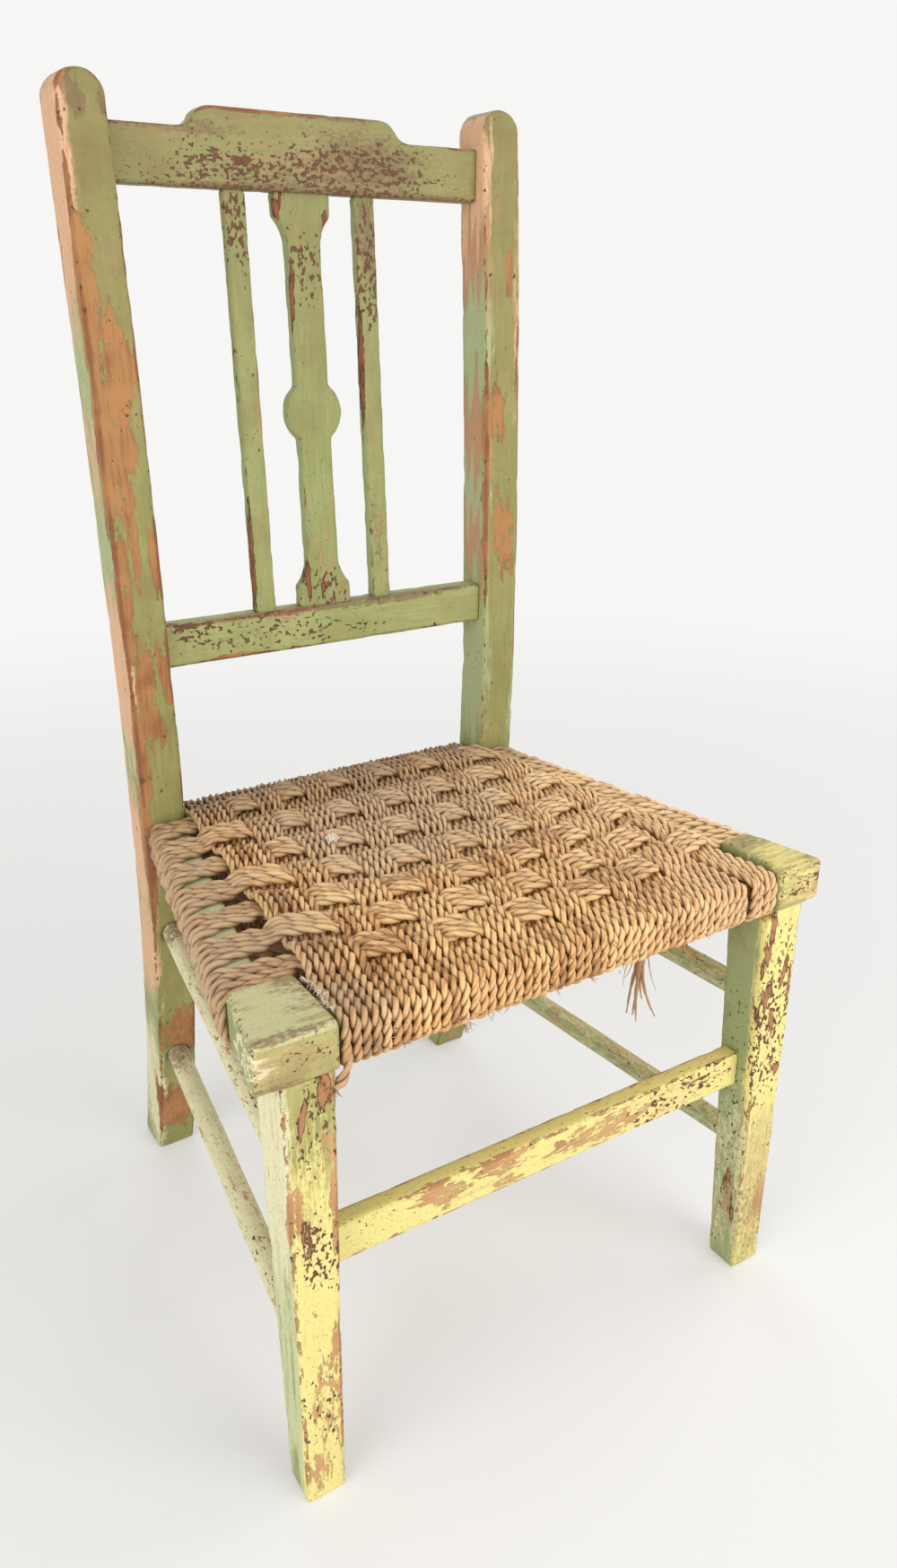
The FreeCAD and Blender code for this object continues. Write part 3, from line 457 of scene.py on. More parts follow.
        # Small chips, and single flakes where a patch asks for one
        spots = shade.math("MULTIPLY_ADD", cluster, self.cluster_chips, speck)
        spots = shade.math("MULTIPLY_ADD", rim, self.rim_chips * edge_wear, spots)
        spots = shade.math("SUBTRACT", spots, 0.5 * self.cluster_chips)
        spots = shade.math("MULTIPLY_ADD", masks[Layer.CHIPS], self.patch_chips, spots)
        chip = shade.step(spots, *self.chip_from)
        core = shade.step(spots, *self.core_from)
        surface = shade.mix(chip, surface, shade.mix(core, self.chip, self.flake))
        if any(p.layer is Layer.FLAKE for p in worn):
            depth = shade.sway(masks[Layer.FLAKE], fleck, self.flake_speckle)
            flake = shade.step(depth, *self.flake_from)
            heart = shade.mix(shade.step(depth, *self.heart_from), self.chip, self.wood_dark)
            surface = shade.mix(flake, surface, heart)
            chip = shade.math("MAXIMUM", chip, flake)

        # Surface, lower and duller where the paint is lost
        shade.show("Base Color", surface)
        shade.show("Specular IOR Level", self.shine)
        lost = shade.math("MAXIMUM", bare, chip)
        duller = self.wood_roughness - self.paint_roughness
        rough = shade.math("MULTIPLY_ADD", lost, duller, self.paint_roughness)
        shade.show("Roughness", shade.math("MULTIPLY_ADD", brush, self.brush_roughness, rough))
        height = shade.math("MULTIPLY_ADD", brush, self.brush_height, shade.math("SUBTRACT", 1.0, lost))
        shade.bump(height, self.coat_thickness, self.relief)
        return shade.material

    def masks(self, shade: Shading, place: Socket, grain: Axis, worn: list[Patch],
              seed: float) -> dict[Layer, object]:
        """Draws where each layer shows.

        Args:
            shade: Nodes of the material.
            place: Place on the chair.
            grain: Way the grain runs.
            worn: Places where lower layers show.
            seed: Offset of the piece's own pattern.

        Returns:
            A mask for each layer. Those of older coats are drawn out along the grain.
        """
        frayed = shade.drift(place, self.fray, grain.push(*self.fray_push), grain.value, seed + 5.3)
        streaked = shade.drift(place, self.streak, grain.push(*self.streak_push), grain.value, seed + 6.1)
        coats = (Layer.SALMON, Layer.MINT, Layer.RUST)
        return {layer: self.mask(shade, streaked if layer in coats else frayed,
                                 [p for p in worn if p.layer is layer]) for layer in Layer}

    def mask(self, shade: Shading, place: Socket, worn: list[Patch]) -> object:
        """Joins patches into one mask.

        Args:
            shade: Nodes of the material.
            place: Place on the chair, frayed.
            worn: The patches.

        Returns:
            Value that is high inside the patches, or plain 0 where there is none.
        """
        total: object = 0.0
        for patch in worn:
            away = shade.vector("DIVIDE", shade.vector("SUBTRACT", place, patch.centre), patch.reach)
            inside = shade.math("SUBTRACT", self.patch_end, shade.length(away))
            inside = shade.math("MINIMUM", shade.math("MAXIMUM", inside, 0.0), self.patch_full)
            total = shade.math("MAXIMUM", shade.math("MULTIPLY", inside, patch.weight), total)
        return total

    def blurred(self, shade: Shading, mask: object, fleck: Socket, brush: Socket) -> Socket:
        """Gives a mask a streaky border that fades out.

        Args:
            shade: Nodes of the material.
            mask: Mask of one layer.
            fleck: Small spots, which fray the border.
            brush: Marks of the brush, which fray it less.

        Returns:
            The share of the layer that shows.
        """
        streaks = shade.sway(mask, fleck, self.border_fleck)
        streaks = shade.sway(streaks, brush, self.border_brush)
        inside = shade.step(mask, *self.border_end)
        return shade.math("MULTIPLY", shade.step(streaks, *self.border), inside)

    def coat(self, shade: Shading, place: Socket, brush: Socket, cluster: Socket, seed: float) -> Socket:
        """Colours the top coat, with painted shade: a cooler green on faces that look sideways and a darker
        tone higher up; a soft haze mottles it too.

        Args:
            shade: Nodes of the material.
            place: Place on the chair.
            brush: Marks of the brush.
            cluster: Large soft clouds.
            seed: Offset of the piece's own pattern.

        Returns:
            The colour's socket.
        """
        streaky = shade.math("MULTIPLY", cluster, self.light_mix)
        streaky = shade.math("MULTIPLY_ADD", brush, self.light_mix, streaky)
        colour = shade.mix(shade.step(streaky, *self.light_from), self.paint, self.paint_light)
        # Painted shade: faces that look sideways take a cooler green, as if less light fell on them
        normal = shade.axes(shade.add("ShaderNodeNewGeometry").outputs["Normal"])
        sideways = shade.step(shade.math("ABSOLUTE", normal["X"]), *self.side_facing)
        colour = shade.mix(sideways, colour, self.paint_side_shade)
        # Mottled haze in the paint, plus painted shade that darkens the coat higher up
        haze = shade.noise(place, self.haze, EVEN, 4.0, 0.62, seed + 17.3)
        high = shade.step(shade.axes(place)["Z"], *self.shade_height)
        high = shade.math("MULTIPLY", high, self.height_shade_share)
        dull_and_shade = shade.math("MULTIPLY_ADD", shade.step(haze, *self.haze_from), self.haze_share, high)
        return shade.mix(dull_and_shade, colour, self.paint_dull_and_shade)

    def soiled(self, shade: Shading, place: Socket, coat: Socket, grain: Axis, seed: float) -> Socket:
        """Dirties a coat with specks all over and streaks along the grain.

        Args:
            shade: Nodes of the material.
            place: Place on the chair.
            coat: Colour of the clean coat.
            grain: Way the grain runs.
            seed: Offset of the piece's own pattern.

        Returns:
            The colour's socket.
        """
        dust = shade.step(shade.noise(place, self.dust, EVEN, 3.0, 0.6, seed + 19.1), *self.dust_from)
        coat = shade.mix(shade.math("MULTIPLY", dust, self.dust_share), coat, self.grime_and_film_shadow)
        streak = shade.noise(place, self.soil, grain.value, 4.0, 0.6, seed + 31.7)
        patchy = shade.noise(place, self.soil_patch, EVEN, 3.0, 0.6, seed + 37.3)
        soil = shade.math("MULTIPLY", shade.step(streak, *self.soil_from),
                          shade.step(patchy, *self.soil_patch_from))
        return shade.mix(shade.math("MULTIPLY", soil, self.soil_share), coat, self.rust)

    def timber(self, shade: Shading, place: Socket, grain: Axis, edge: Socket, seed: float) -> Socket:
        """Colours the bare wood, darker at rubbed edges.

        Args:
            shade: Nodes of the material.
            place: Place on the chair.
            grain: Way the grain runs.
            edge: Nearness to a free edge.
            seed: Offset of the piece's own pattern.

        Returns:
            The colour's socket.
        """
        fibres = shade.noise(place, self.fibre, grain.value, 4.0, 0.6, seed + 23.0)
        blotch = shade.noise(place, self.blotch, EVEN, 2.0, 0.5, seed + 29.0)
        tone = shade.math("MULTIPLY", fibres, self.fibre_mix)
        tone = shade.math("MULTIPLY_ADD", blotch, self.blotch_mix, tone)
        dark = shade.math("MULTIPLY_ADD", edge, self.edge_mix, tone)
        return shade.mix(shade.step(dark, *self.dark_from), self.wood, self.wood_dark)


@dataclass(frozen=True)
class TwistedCord:
    """Two-ply plant-fibre cord, golden where clean and grey-brown where sat on."""

    golden: Colour = (0.800, 0.430, 0.160)
    straw: Colour = (0.935, 0.622, 0.283)
    brown: Colour = (0.400, 0.195, 0.076)
    grey: Colour = (0.585, 0.418, 0.282)
    lit: Colour = (1.000, 0.700, 0.400)
    shaded: Colour = (0.215, 0.122, 0.062)
    groove: Colour = (0.064, 0.031, 0.014)
    # Sizes of the patterns: fibres and tufts in radii of the cord, stains and spots in millimetres
    fibre: float = 0.16
    fibre_stretch: Triple = (1.0, 1.0, 0.012)
    tuft: float = 1.0
    tuft_stretch: Triple = (0.9, 0.9, 0.13)
    stain: float = 42.0
    spot: float = 9.0
    # Furthest shift of a strand's fibres along its run, in millimetres
    strand_shift: float = 37.0
    # Places in millimetres where sunlight is painted on the cord, where it is sat on and rubbed, and where
    # shade is painted on it
    sunlit_across: Range = (10.0, 110.0)
    sat_on: Triple = (-10.0, 5.0, 268.0)
    sat_reach: Triple = (120.0, 105.0, 60.0)
    rubbed_left: Range = (-60.0, -130.0)
    back_edge: Range = (0.0, 100.0)
    left_edge: Range = (-85.0, -130.0)
    # Values of a pattern at which something begins to show and is complete
    straw_from: Range = (0.44, 0.68)
    brown_from: Range = (0.53, 0.37)
    groove_from: Range = (0.55, 0.10)
    rubbed_from: Range = (0.15, 0.95)
    sat_fade: Range = (1.1, 0.2)
    # Weights of the patterns in the tone, the rubbing and the shadow
    fibre_tone: float = 0.55
    tuft_tone: float = 0.45
    strand_tone: float = 0.22
    darker: float = 0.06
    stain_tone: float = 0.45
    stain_rub: float = 1.4
    spot_rub: float = 0.8
    stain_shadow: float = 0.8
    least_shadow: float = 0.5
    # Shares of a tint that show at most
    sunlight_share: float = 0.44
    rubbing: float = 0.62
    rubbing_left: float = 0.66
    shadow: float = 0.80
    shadow_left: float = 0.42
    groove_dirt_and_shade: float = 0.85
    # Shine, roughness and relief; the depth of the fibres is in millimetres
    roughness: float = 0.52
    shine: float = 0.45
    fibre_depth: float = 0.28
    relief: float = 0.7

    def material(self, name: str) -> bpy.types.Material:
        """Draws fibres along each ply, with painted sunlight on the right side, soiling and painted shade in
        the grooves, and painted shade towards the back.

        Args:
            name: Name of the material.

        Returns:
            The finished material.
        """
        shade = Shading(name)
        place = shade.place()
        around = shade.axes(shade.attribute("around", "Vector"))
        strand = shade.attribute("strand")
        run = shade.math("MULTIPLY_ADD", strand, self.strand_shift, shade.attribute("along"))
        ply = shade.add("ShaderNodeCombineXYZ", {"X": around["X"], "Y": around["Y"], "Z": run}).outputs[0]
        fibre = shade.noise(ply, self.fibre, self.fibre_stretch, 3.0, 0.65)
        tuft = shade.noise(ply, self.tuft, self.tuft_stretch, 2.0, 0.5, 5.0)
        stain = shade.noise(place, self.stain, EVEN, 3.0, 0.55, 9.0)
        spot = shade.noise(place, self.spot, EVEN, 3.0, 0.6, 13.0)

        tone = shade.math("MULTIPLY", tuft, self.tuft_tone)
        tone = shade.math("MULTIPLY_ADD", fibre, self.fibre_tone, tone)
        tone = shade.math("SUBTRACT", tone, self.darker)
        tone = shade.math("MULTIPLY_ADD", strand, self.strand_tone, tone)
        tone = shade.sway(tone, stain, self.stain_tone)
        colour = shade.mix(shade.step(tone, *self.straw_from), self.golden, self.straw)
        colour = shade.mix(shade.step(tone, *self.brown_from), colour, self.brown)
        # Painted sunlight: a paler tint over the right side of the seat
        sunny = shade.step(shade.axes(place)["X"], *self.sunlit_across)
        # Darker in the crease between the two plies: partly soiling, partly painted shade
        hollow = shade.step(shade.math("ABSOLUTE", around["X"]), *self.groove_from)
        for share, weight, tint in ((sunny, self.sunlight_share, self.lit),
                                    (self.worn(shade, place, stain, spot), self.rubbing, self.grey),
                                    (self.back(shade, place, stain), self.shadow, self.shaded),
                                    (hollow, self.groove_dirt_and_shade, self.groove)):
            colour = shade.mix(shade.math("MULTIPLY", share, weight), colour, tint)
        shade.show("Base Color", colour)
        shade.show("Roughness", self.roughness)
        shade.show("Specular IOR Level", self.shine)
        shade.bump(fibre, self.fibre_depth, self.relief)
        return shade.material

    def worn(self, shade: Shading, place: Socket, stain: Socket, spot: Socket) -> Socket:
        """Shows where the seat is rubbed grey, towards its middle and its left side.

        Args:
            shade: Nodes of the material.
            place: Place on the chair.
            stain: Large clouds.
            spot: Small clouds.

        Returns:
            Value from 0 to 1.
        """
        away = shade.vector("DIVIDE", shade.vector("SUBTRACT", place, self.sat_on), self.sat_reach)
        inside = shade.step(shade.length(away), *self.sat_fade)
        left = shade.step(shade.axes(place)["X"], *self.rubbed_left)
        rubbed = shade.math("MAXIMUM", inside, shade.math("MULTIPLY", left, self.rubbing_left))
        rubbed = shade.sway(rubbed, stain, self.stain_rub)
        return shade.step(shade.sway(rubbed, spot, self.spot_rub), *self.rubbed_from)

    def back(self, shade: Shading, place: Socket, stain: Socket) -> Socket:
        """Shows where painted shade darkens the cord, towards the back edge and a little at the left side.

        Args:
            shade: Nodes of the material.
            place: Place on the chair.
            stain: Large clouds.

        Returns:
            Value from 0 to about 1.
        """
        sides = shade.axes(place)
        left = shade.math("MULTIPLY", shade.step(sides["X"], *self.left_edge), self.shadow_left)
        edge = shade.math("MAXIMUM", shade.step(sides["Y"], *self.back_edge), left)
        cloudy = shade.math("MULTIPLY_ADD", stain, self.stain_shadow, self.least_shadow)
        return shade.math("MULTIPLY", edge, cloudy)


@dataclass
class TimberWorks:
    """Turns the frame's square solids into hand-worn timber."""

    nodes: list[str]
    voxel: float = 1.25
    weld: float = 0.002
    sharp: float = math.radians(25.0)
    soften_rounds: int = 3
    soften_share: float = 0.5
    wobble: float = 0.22
    wobble_size: float = 45.0
    dent: float = 0.9
    dent_size: float = 11.0
    dent_from: float = 0.12
    dent_reach: float = 2.6
    joint_near: float = 0.8
    joint_far: float = 5.0
    edge_step: float = 1.0
    edge_limit: float = 15.0
    solids: dict[str, bmesh.types.BMesh] = field(init=False)

    def __post_init__(self) -> None:
        """Keeps a welded copy of each wooden solid."""
        self.solids = {name: self.welded(name) for name in self.nodes}

    def welded(self, node: str) -> bmesh.types.BMesh:
        """Joins the loose triangles of a solid.

        Args:
            node: Name of the solid.

        Returns:
            A copy of the solid.
        """
        solid = bmesh.new()
        solid.from_mesh(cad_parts[node].data)
        bmesh.ops.remove_doubles(solid, verts=solid.verts, dist=self.weld * MM)
        return solid

    def neighbours(self, node: str) -> BVHTree:
        """Gathers all the other wooden solids.

        Args:
            node: Name of the solid that is left out.

        Returns:
            Search tree over their faces.
        """
        points: list[Vector] = []
        faces: list[list[int]] = []
        for name, solid in self.solids.items():
            if name == node:
                continue
            start = len(points)
            points += [v.co for v in solid.verts]
            faces += [[start + v.index for v in f.verts] for f in solid.faces]
        return BVHTree.FromPolygons(points, faces)

    def edge_points(self, node: str, others: BVHTree) -> KDTree:
        """Finds the solid's free sharp edges.

        Args:
            node: Name of the solid.
            others: Search tree over the other solids.

        Returns:
            Search tree over points along the edges that no other solid touches.
        """
        found: list[Vector] = []
        for edge in self.solids[node].edges:
            if len(edge.link_faces) != 2 or edge.calc_face_angle() < self.sharp:
                continue
            start, end = (v.co for v in edge.verts)
            steps = max(1, round((end - start).length / (self.edge_step * MM)))
            for step in range(steps + 1):
                point = start.lerp(end, step / steps)
                if others.find_nearest(point, self.joint_near * MM)[0] is None:
                    found.append(point)
        tree = KDTree(len(found))
        for index, point in enumerate(found):
            tree.insert(point, index)
        tree.balance()
        return tree

    def even_copy(self, node: str) -> bpy.types.Object:
        """Copies a solid with fine even faces.

        Args:
            node: Name of the solid.

        Returns:
            The new piece.
        """
        mesh = bpy.data.meshes.new(node + "_worn")
        self.solids[node].verts.index_update()
        self.solids[node].to_mesh(mesh)
        piece = placed(node + "_worn", mesh)
        remesh = piece.modifiers.new("even_faces", "REMESH")
        remesh.mode = "VOXEL"
        remesh.voxel_size = self.voxel * MM
        fine = evaluated_mesh(piece)
        piece.modifiers.clear()
        piece.data = fine
        bpy.data.meshes.remove(mesh)
        fine.name = node + "_worn"
        return piece

    def build(self, node: str, seed: float) -> bpy.types.Object:
        """Makes a worn copy of a solid: soft free edges, small dents, crisp joints.

        Args:
            node: Name of the solid.
            seed: Offset of the piece's own dents.

        Returns:
            The new piece, with the distance to the nearest free edge as its attribute "edge".
        """
        piece = self.even_copy(node)
        fine = piece.data
        others = self.neighbours(node)
        edges = self.edge_points(node, others)
        count = len(fine.vertices)
        places = np.empty(count * 3)
        fine.vertices.foreach_get("co", places)
        places = places.reshape(-1, 3)
        free = np.array([self.freedom(Vector(p), others) for p in places])
        places = self.softened(fine, places, free)
        distance = np.array([self.edge_distance(Vector(p), edges) for p in places])
        fine.vertices.foreach_set("co", places.ravel())
        fine.update()
        normals = np.empty(count * 3)
        fine.vertices.foreach_get("normal", normals)
        depth = np.array([self.relief(Vector(p), d, seed) for p, d in zip(places, distance)])
        places -= normals.reshape(-1, 3) * (depth * free)[:, None] * MM
        fine.vertices.foreach_set("co", places.ravel())
        fine.attributes.new("edge", "FLOAT", "POINT").data.foreach_set("value", distance)
        fine.shade_smooth()
        fine.update()
        return piece

    def edge_distance(self, point: Vector, edges: KDTree) -> float:
        """Distance in millimetres to the nearest free edge, up to a limit."""
        away = edges.find(point)[2]
        return self.edge_limit if away is None else min(away / MM, self.edge_limit)

    def freedom(self, point: Vector, others: BVHTree) -> float:
        """0 where a point lies in a joint, 1 well away from it."""
        gap = others.find_nearest(point, self.joint_far * MM)[3]
        return 1.0 if gap is None else smooth(gap / MM, self.joint_near, self.joint_far)

    def softened(self, mesh: bpy.types.Mesh, places: np.ndarray, free: np.ndarray) -> np.ndarray:
        """Moves each point towards its neighbours, apart from those in joints.

        Args:
            mesh: Mesh whose edges say which points are neighbours.
            places: Places of its points.
            free: How far each point may move, from 0 to 1.

        Returns:
            The new places.
        """
        pairs = np.empty(len(mesh.edges) * 2, dtype=np.int32)
        mesh.edges.foreach_get("vertices", pairs)
        first, second = pairs.reshape(-1, 2).T
        links = np.bincount(pairs, minlength=len(places))[:, None]
        for _ in range(self.soften_rounds):
            total = np.zeros_like(places)
            for axis in range(3):
                total[:, axis] += np.bincount(first, places[second, axis], len(places))
                total[:, axis] += np.bincount(second, places[first, axis], len(places))
            places = places + (total / links - places) * (self.soften_share * free)[:, None]
        return places

    def relief(self, point: Vector, distance: float, seed: float) -> float:
        """Works out by how much hand work and knocks lower the surface.

        Args:
            point: Point on the surface.
            distance: Its distance to the nearest free edge, in millimetres.
            seed: Offset of the piece's own dents.

        Returns:
            Depth in millimetres.
        """
        shift = Vector((seed, seed * 0.7, seed * 1.3))
        wave = noise.noise(point / (self.wobble_size * MM) + shift) * self.wobble
        knock = max(0.0, noise.noise(point / (self.dent_size * MM) + shift * 2.0) - self.dent_from)
        return wave + knock * self.dent * math.exp(-((distance / self.dent_reach) ** 2))


@dataclass
class PaintedFrame:
    """Sub-assembly of painted wooden pieces that share one finish."""

    works: TimberWorks
    finish: WornPaint = field(default_factory=WornPaint)
    skin: float = 7.0

    def dress(self, node: str, grain: Axis, worn: list[Patch], edge_wear: float, seed: float,
              finish: WornPaint | None = None) -> None:
        """Replaces one wooden solid by a worn piece with its own paint.

        Args:
            node: Name of the solid.
            grain: Way its grain runs.
            worn: Places where lower layers of paint show.
            edge_wear: How much of its edges is rubbed bare.
            seed: Offset of the piece's own pattern.
            finish: Paint of this piece where it is not the paint of the sub-assembly.
        """
        piece = self.works.build(node, seed)
        paint = finish or self.finish
        piece.data.materials.clear()
        piece.data.materials.append(paint.material(node + "_paint", grain, worn, edge_wear, seed))
        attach(piece, BODY)
        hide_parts(node)
        LOG.info("%s: %d faces", piece.name, len(piece.data.polygons))

    def upright(self, face: float, layer: Layer, x: float, z: float, wide: float, tall: float,
                weight: float = 1.0) -> Patch:
        """Patch on a face that looks forward or back at a depth."""
        return Patch(layer, (x, face, z), (wide, self.skin, tall), weight)


@dataclass
class ChairBack(PaintedFrame):
    """Rear posts, crest rail, lower rail, splat and slats."""

    crest_finish: WornPaint = WornPaint(
        paint=(0.268, 0.268, 0.092), paint_light=(0.345, 0.355, 0.137), paint_dull_and_shade=(0.265, 0.205, 0.086),
        fleck=2.6, speck=1.6)
    rail_finish: WornPaint = WornPaint(
        paint=(0.305, 0.325, 0.116), paint_light=(0.390, 0.420, 0.168), paint_dull_and_shade=(0.300, 0.250, 0.106),
        fleck=2.8, speck=2.0)
    banister_finish: WornPaint = WornPaint(
        paint=(0.258, 0.276, 0.094), paint_light=(0.332, 0.360, 0.138), paint_dull_and_shade=(0.256, 0.205, 0.084),
        speck=2.2)
    waist: float = 330.0
    waist_front: float = 76.0
    sweep_radius: float = 4250.0
    kick_radius: float = 1010.0
    post_depth: float = 26.5
    post_width: float = 24.5
    post_outer_floor: float = 124.0
    post_spread: float = 6.0 / 640.0
    flank_reach: Pair = (6.0, 26.0)
    lean_foot: Pair = (85.4, 376.0)
    lean: float = 10.6 / 217.0

    def front(self, height: float) -> float:
        """Y of a post's front face at a height."""
        radius = self.sweep_radius if height > self.waist else self.kick_radius
        return self.waist_front + radius - math.sqrt(radius ** 2 - (height - self.waist) ** 2)

    def outer(self, height: float) -> float:
        """X of the right post's outer face at a height."""
        return self.post_outer_floor + self.post_spread * height

    def post(self, layer: Layer, x: float, z: float, *size: float) -> Patch:
        """Patch on the front face of a post."""
        return self.upright(self.front(z), layer, x, z, *size)

    def rear(self, layer: Layer, x: float, z: float, *size: float) -> Patch:
        """Patch on the back face of a post."""
        return self.upright(self.front(z) + self.post_depth, layer, x, z, *size)

    def banister(self, layer: Layer, x: float, z: float, *size: float) -> Patch:
        """Patch on the front of the splat or a slat."""
        face = self.lean_foot[0] + self.lean * (z - self.lean_foot[1])
        return self.upright(face, layer, x, z, *size)

    def flank(self, side: int, inset: float, layer: Layer, height: float, tall: float,
              weight: float = 1.0) -> Patch:
        """Makes a patch on the side of a post.

        Args:
            side: -1 for the left post, 1 for the right one.
            inset: Distance of the face from the post's outer face.
            layer: Layer that shows.
            height: Height of the patch's middle.
            tall: Its reach up and down.
            weight: How completely the layer shows.

        Returns:
            The patch.
        """
        middle = self.front(height) + self.post_depth / 2
        centre = (side * (self.outer(height) - inset), middle, height)
        return Patch(layer, centre, (*self.flank_reach, tall), weight)

    def build(self) -> None:
        """Dresses every piece of the back."""
        self.dress("rear_post_left", Axis.UPRIGHT, self.left_post(), 0.9, 1.0)
        self.dress("rear_post_right", Axis.UPRIGHT, self.right_post(), 0.75, 2.0)
        self.dress_rails()
        self.dress_banisters()

    def left_post(self) -> list[Patch]:
        """Lists the wear of the left post: bare in long tongues, pink and mint on its outer face.

        Returns:
            The patches.
        """
        outside = partial(self.flank, -1, 0.0)
        return [
            *patches(self.post, Layer.GRIME,
                     (-121.5, 628.0, 6.0, 12.0, 0.95), (-108.0, 622.0, 3.0, 8.0, 0.8)),
            *patches(self.post, Layer.BARE,
                     (-124.5, 631.0, 3.0, 8.0, 0.72), (-126.5, 545.0, 6.0, 55.0), (-126.5, 470.0, 5.5, 60.0),
                     (-114.0, 517.5, 10.0, 19.0), (-117.2, 496.0, 6.0, 18.0), (-118.0, 471.0, 10.0, 20.0),
                     (-119.5, 447.0, 6.0, 18.0), (-124.5, 397.0, 5.5, 34.0), (-118.5, 347.0, 7.0, 30.0),
                     (-107.0, 358.0, 5.0, 20.0), (-113.9, 316.0, 6.0, 13.0), (-124.5, 304.0, 4.5, 40.0),
                     (-116.0, 424.0, 2.2, 20.0), (-106.5, 418.0, 3.0, 20.0), (-126.0, 232.0, 5.5, 60.0),
                     (-111.0, 107.0, 13.0, 32.0), (-112.0, 40.0, 18.0, 55.0)),
            *patches(outside, Layer.SALMON, (590.0, 68.0), (468.0, 22.0, 0.7), (352.0, 50.0), (240.0, 46.0),
                     (171.0, 36.0, 0.8)),
            *patches(outside, Layer.MINT, (512.0, 30.0), (424.0, 28.0), (308.0, 18.0)),
            *patches(outside, Layer.CREAM, (60.0, 70.0, 0.8)),
            *patches(self.rear, Layer.BARE, (-124.0, 560.0, 7.0, 42.0, 0.8), (-112.0, 452.0, 6.0, 36.0, 0.7),
                     (-116.0, 60.0, 12.0, 46.0, 0.7)),
            *patches(self.rear, Layer.CHIPS, (-117.0, 330.0, 12.0, 60.0, 0.7)),
        ]

    def right_post(self) -> list[Patch]:
        """Lists the wear of the right post: red and mint bands on its inner face, bare tongues in front.

        Returns:
            The patches.
        """
        inside = partial(self.flank, 1, self.post_width)
        outside = partial(self.flank, 1, 0.0)
        return [
            *patches(inside, Layer.SALMON, (612.0, 50.0)),
            *patches(inside, Layer.RUST, (564.0, 18.0, 0.85), (466.0, 24.0, 0.88), (402.0, 19.0, 0.88)),
            *patches(inside, Layer.MINT, (522.0, 33.0), (432.0, 20.0), (330.0, 60.0)),
            *patches(self.post, Layer.BARE,
                     (111.5, 475.0, 7.0, 22.0, 0.8), (116.5, 404.0, 9.0, 30.0, 0.9),
                     (127.5, 340.0, 3.0, 20.0), (121.0, 556.0, 2.5, 16.0, 0.8),
                     (104.5, 440.0, 3.0, 70.0, 0.7), (127.5, 500.0, 3.0, 26.0, 0.8)),
            *patches(outside, Layer.SALMON, (520.0, 90.0, 0.7), (170.0, 60.0, 0.7)),
            *patches(outside, Layer.MINT, (320.0, 70.0, 0.8)),
            *patches(outside, Layer.BARE, (120.0, 40.0, 0.5)),
            *patches(self.rear, Layer.BARE, (112.0, 585.0, 6.0, 30.0, 0.7), (122.0, 410.0, 6.0, 44.0, 0.75),
                     (116.0, 70.0, 10.0, 50.0, 0.6)),
            *patches(self.rear, Layer.CHIPS, (117.0, 500.0, 12.0, 50.0, 0.7)),
        ]

    def dress_rails(self) -> None:
        """Dresses the crest rail and the lower rail."""
        low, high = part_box("crest_rail")
        top, bottom = high.z / MM, low.z / MM
        face, back = (partial(self.upright, y / MM) for y in (low.y, high.y))
        crest = [
            *patches(face, Layer.CHIPS, (-46.0, 601.0, 46.0, 13.0, 0.92), (24.0, 604.0, 54.0, 16.0, 0.95)),
            *patches(face, Layer.GRIME, (30.0, 607.0, 48.0, 17.0, 0.80), (-30.0, 602.0, 50.0, 10.0, 0.55),
                     (-5.0, top, 70.0, 3.2, 0.9), (-70.0, 619.0, 45.0, 4.0, 0.6),
                     (10.0, bottom, 110.0, 4.0, 0.9)),
            *patches(face, Layer.BARE, (-30.0, top, 40.0, 4.0, 0.6)),
            *patches(back, Layer.CHIPS, (30.0, 612.0, 60.0, 18.0, 0.8)),
            *patches(back, Layer.GRIME, (-20.0, top, 70.0, 6.0, 0.8)),
            *patches(back, Layer.BARE, (-60.0, bottom, 50.0, 5.0, 0.6)),
        ]
        self.dress("crest_rail", Axis.ACROSS, crest, 0.8, 3.0, self.crest_finish)
        low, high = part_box("lower_back_rail")
        top, bottom = high.z / MM, low.z / MM
        face, back = (partial(self.upright, y / MM) for y in (low.y, high.y))
        lower = [
            *patches(face, Layer.CHIPS, (-84.0, 371.0, 15.0, 7.0), (-72.0, 364.0, 20.0, 8.0, 0.75),
                     (-45.0, 365.0, 60.0, 10.0, 0.6), (-5.0, 361.0, 10.0, 8.0, 0.95),
                     (26.0, 360.0, 14.0, 4.0, 0.9)),
            *patches(face, Layer.RUST, (-24.0, top - 1.5, 18.0, 3.5)),
            *patches(face, Layer.GRIME, (0.0, top, 130.0, 4.0, 0.9)),
            *patches(face, Layer.BARE, (-70.0, bottom, 26.0, 3.5, 0.8)),
            *patches(back, Layer.CHIPS, (40.0, 364.0, 70.0, 12.0, 0.75)),
        ]
        self.dress("lower_back_rail", Axis.ACROSS, lower, 0.75, 4.0, self.rail_finish)

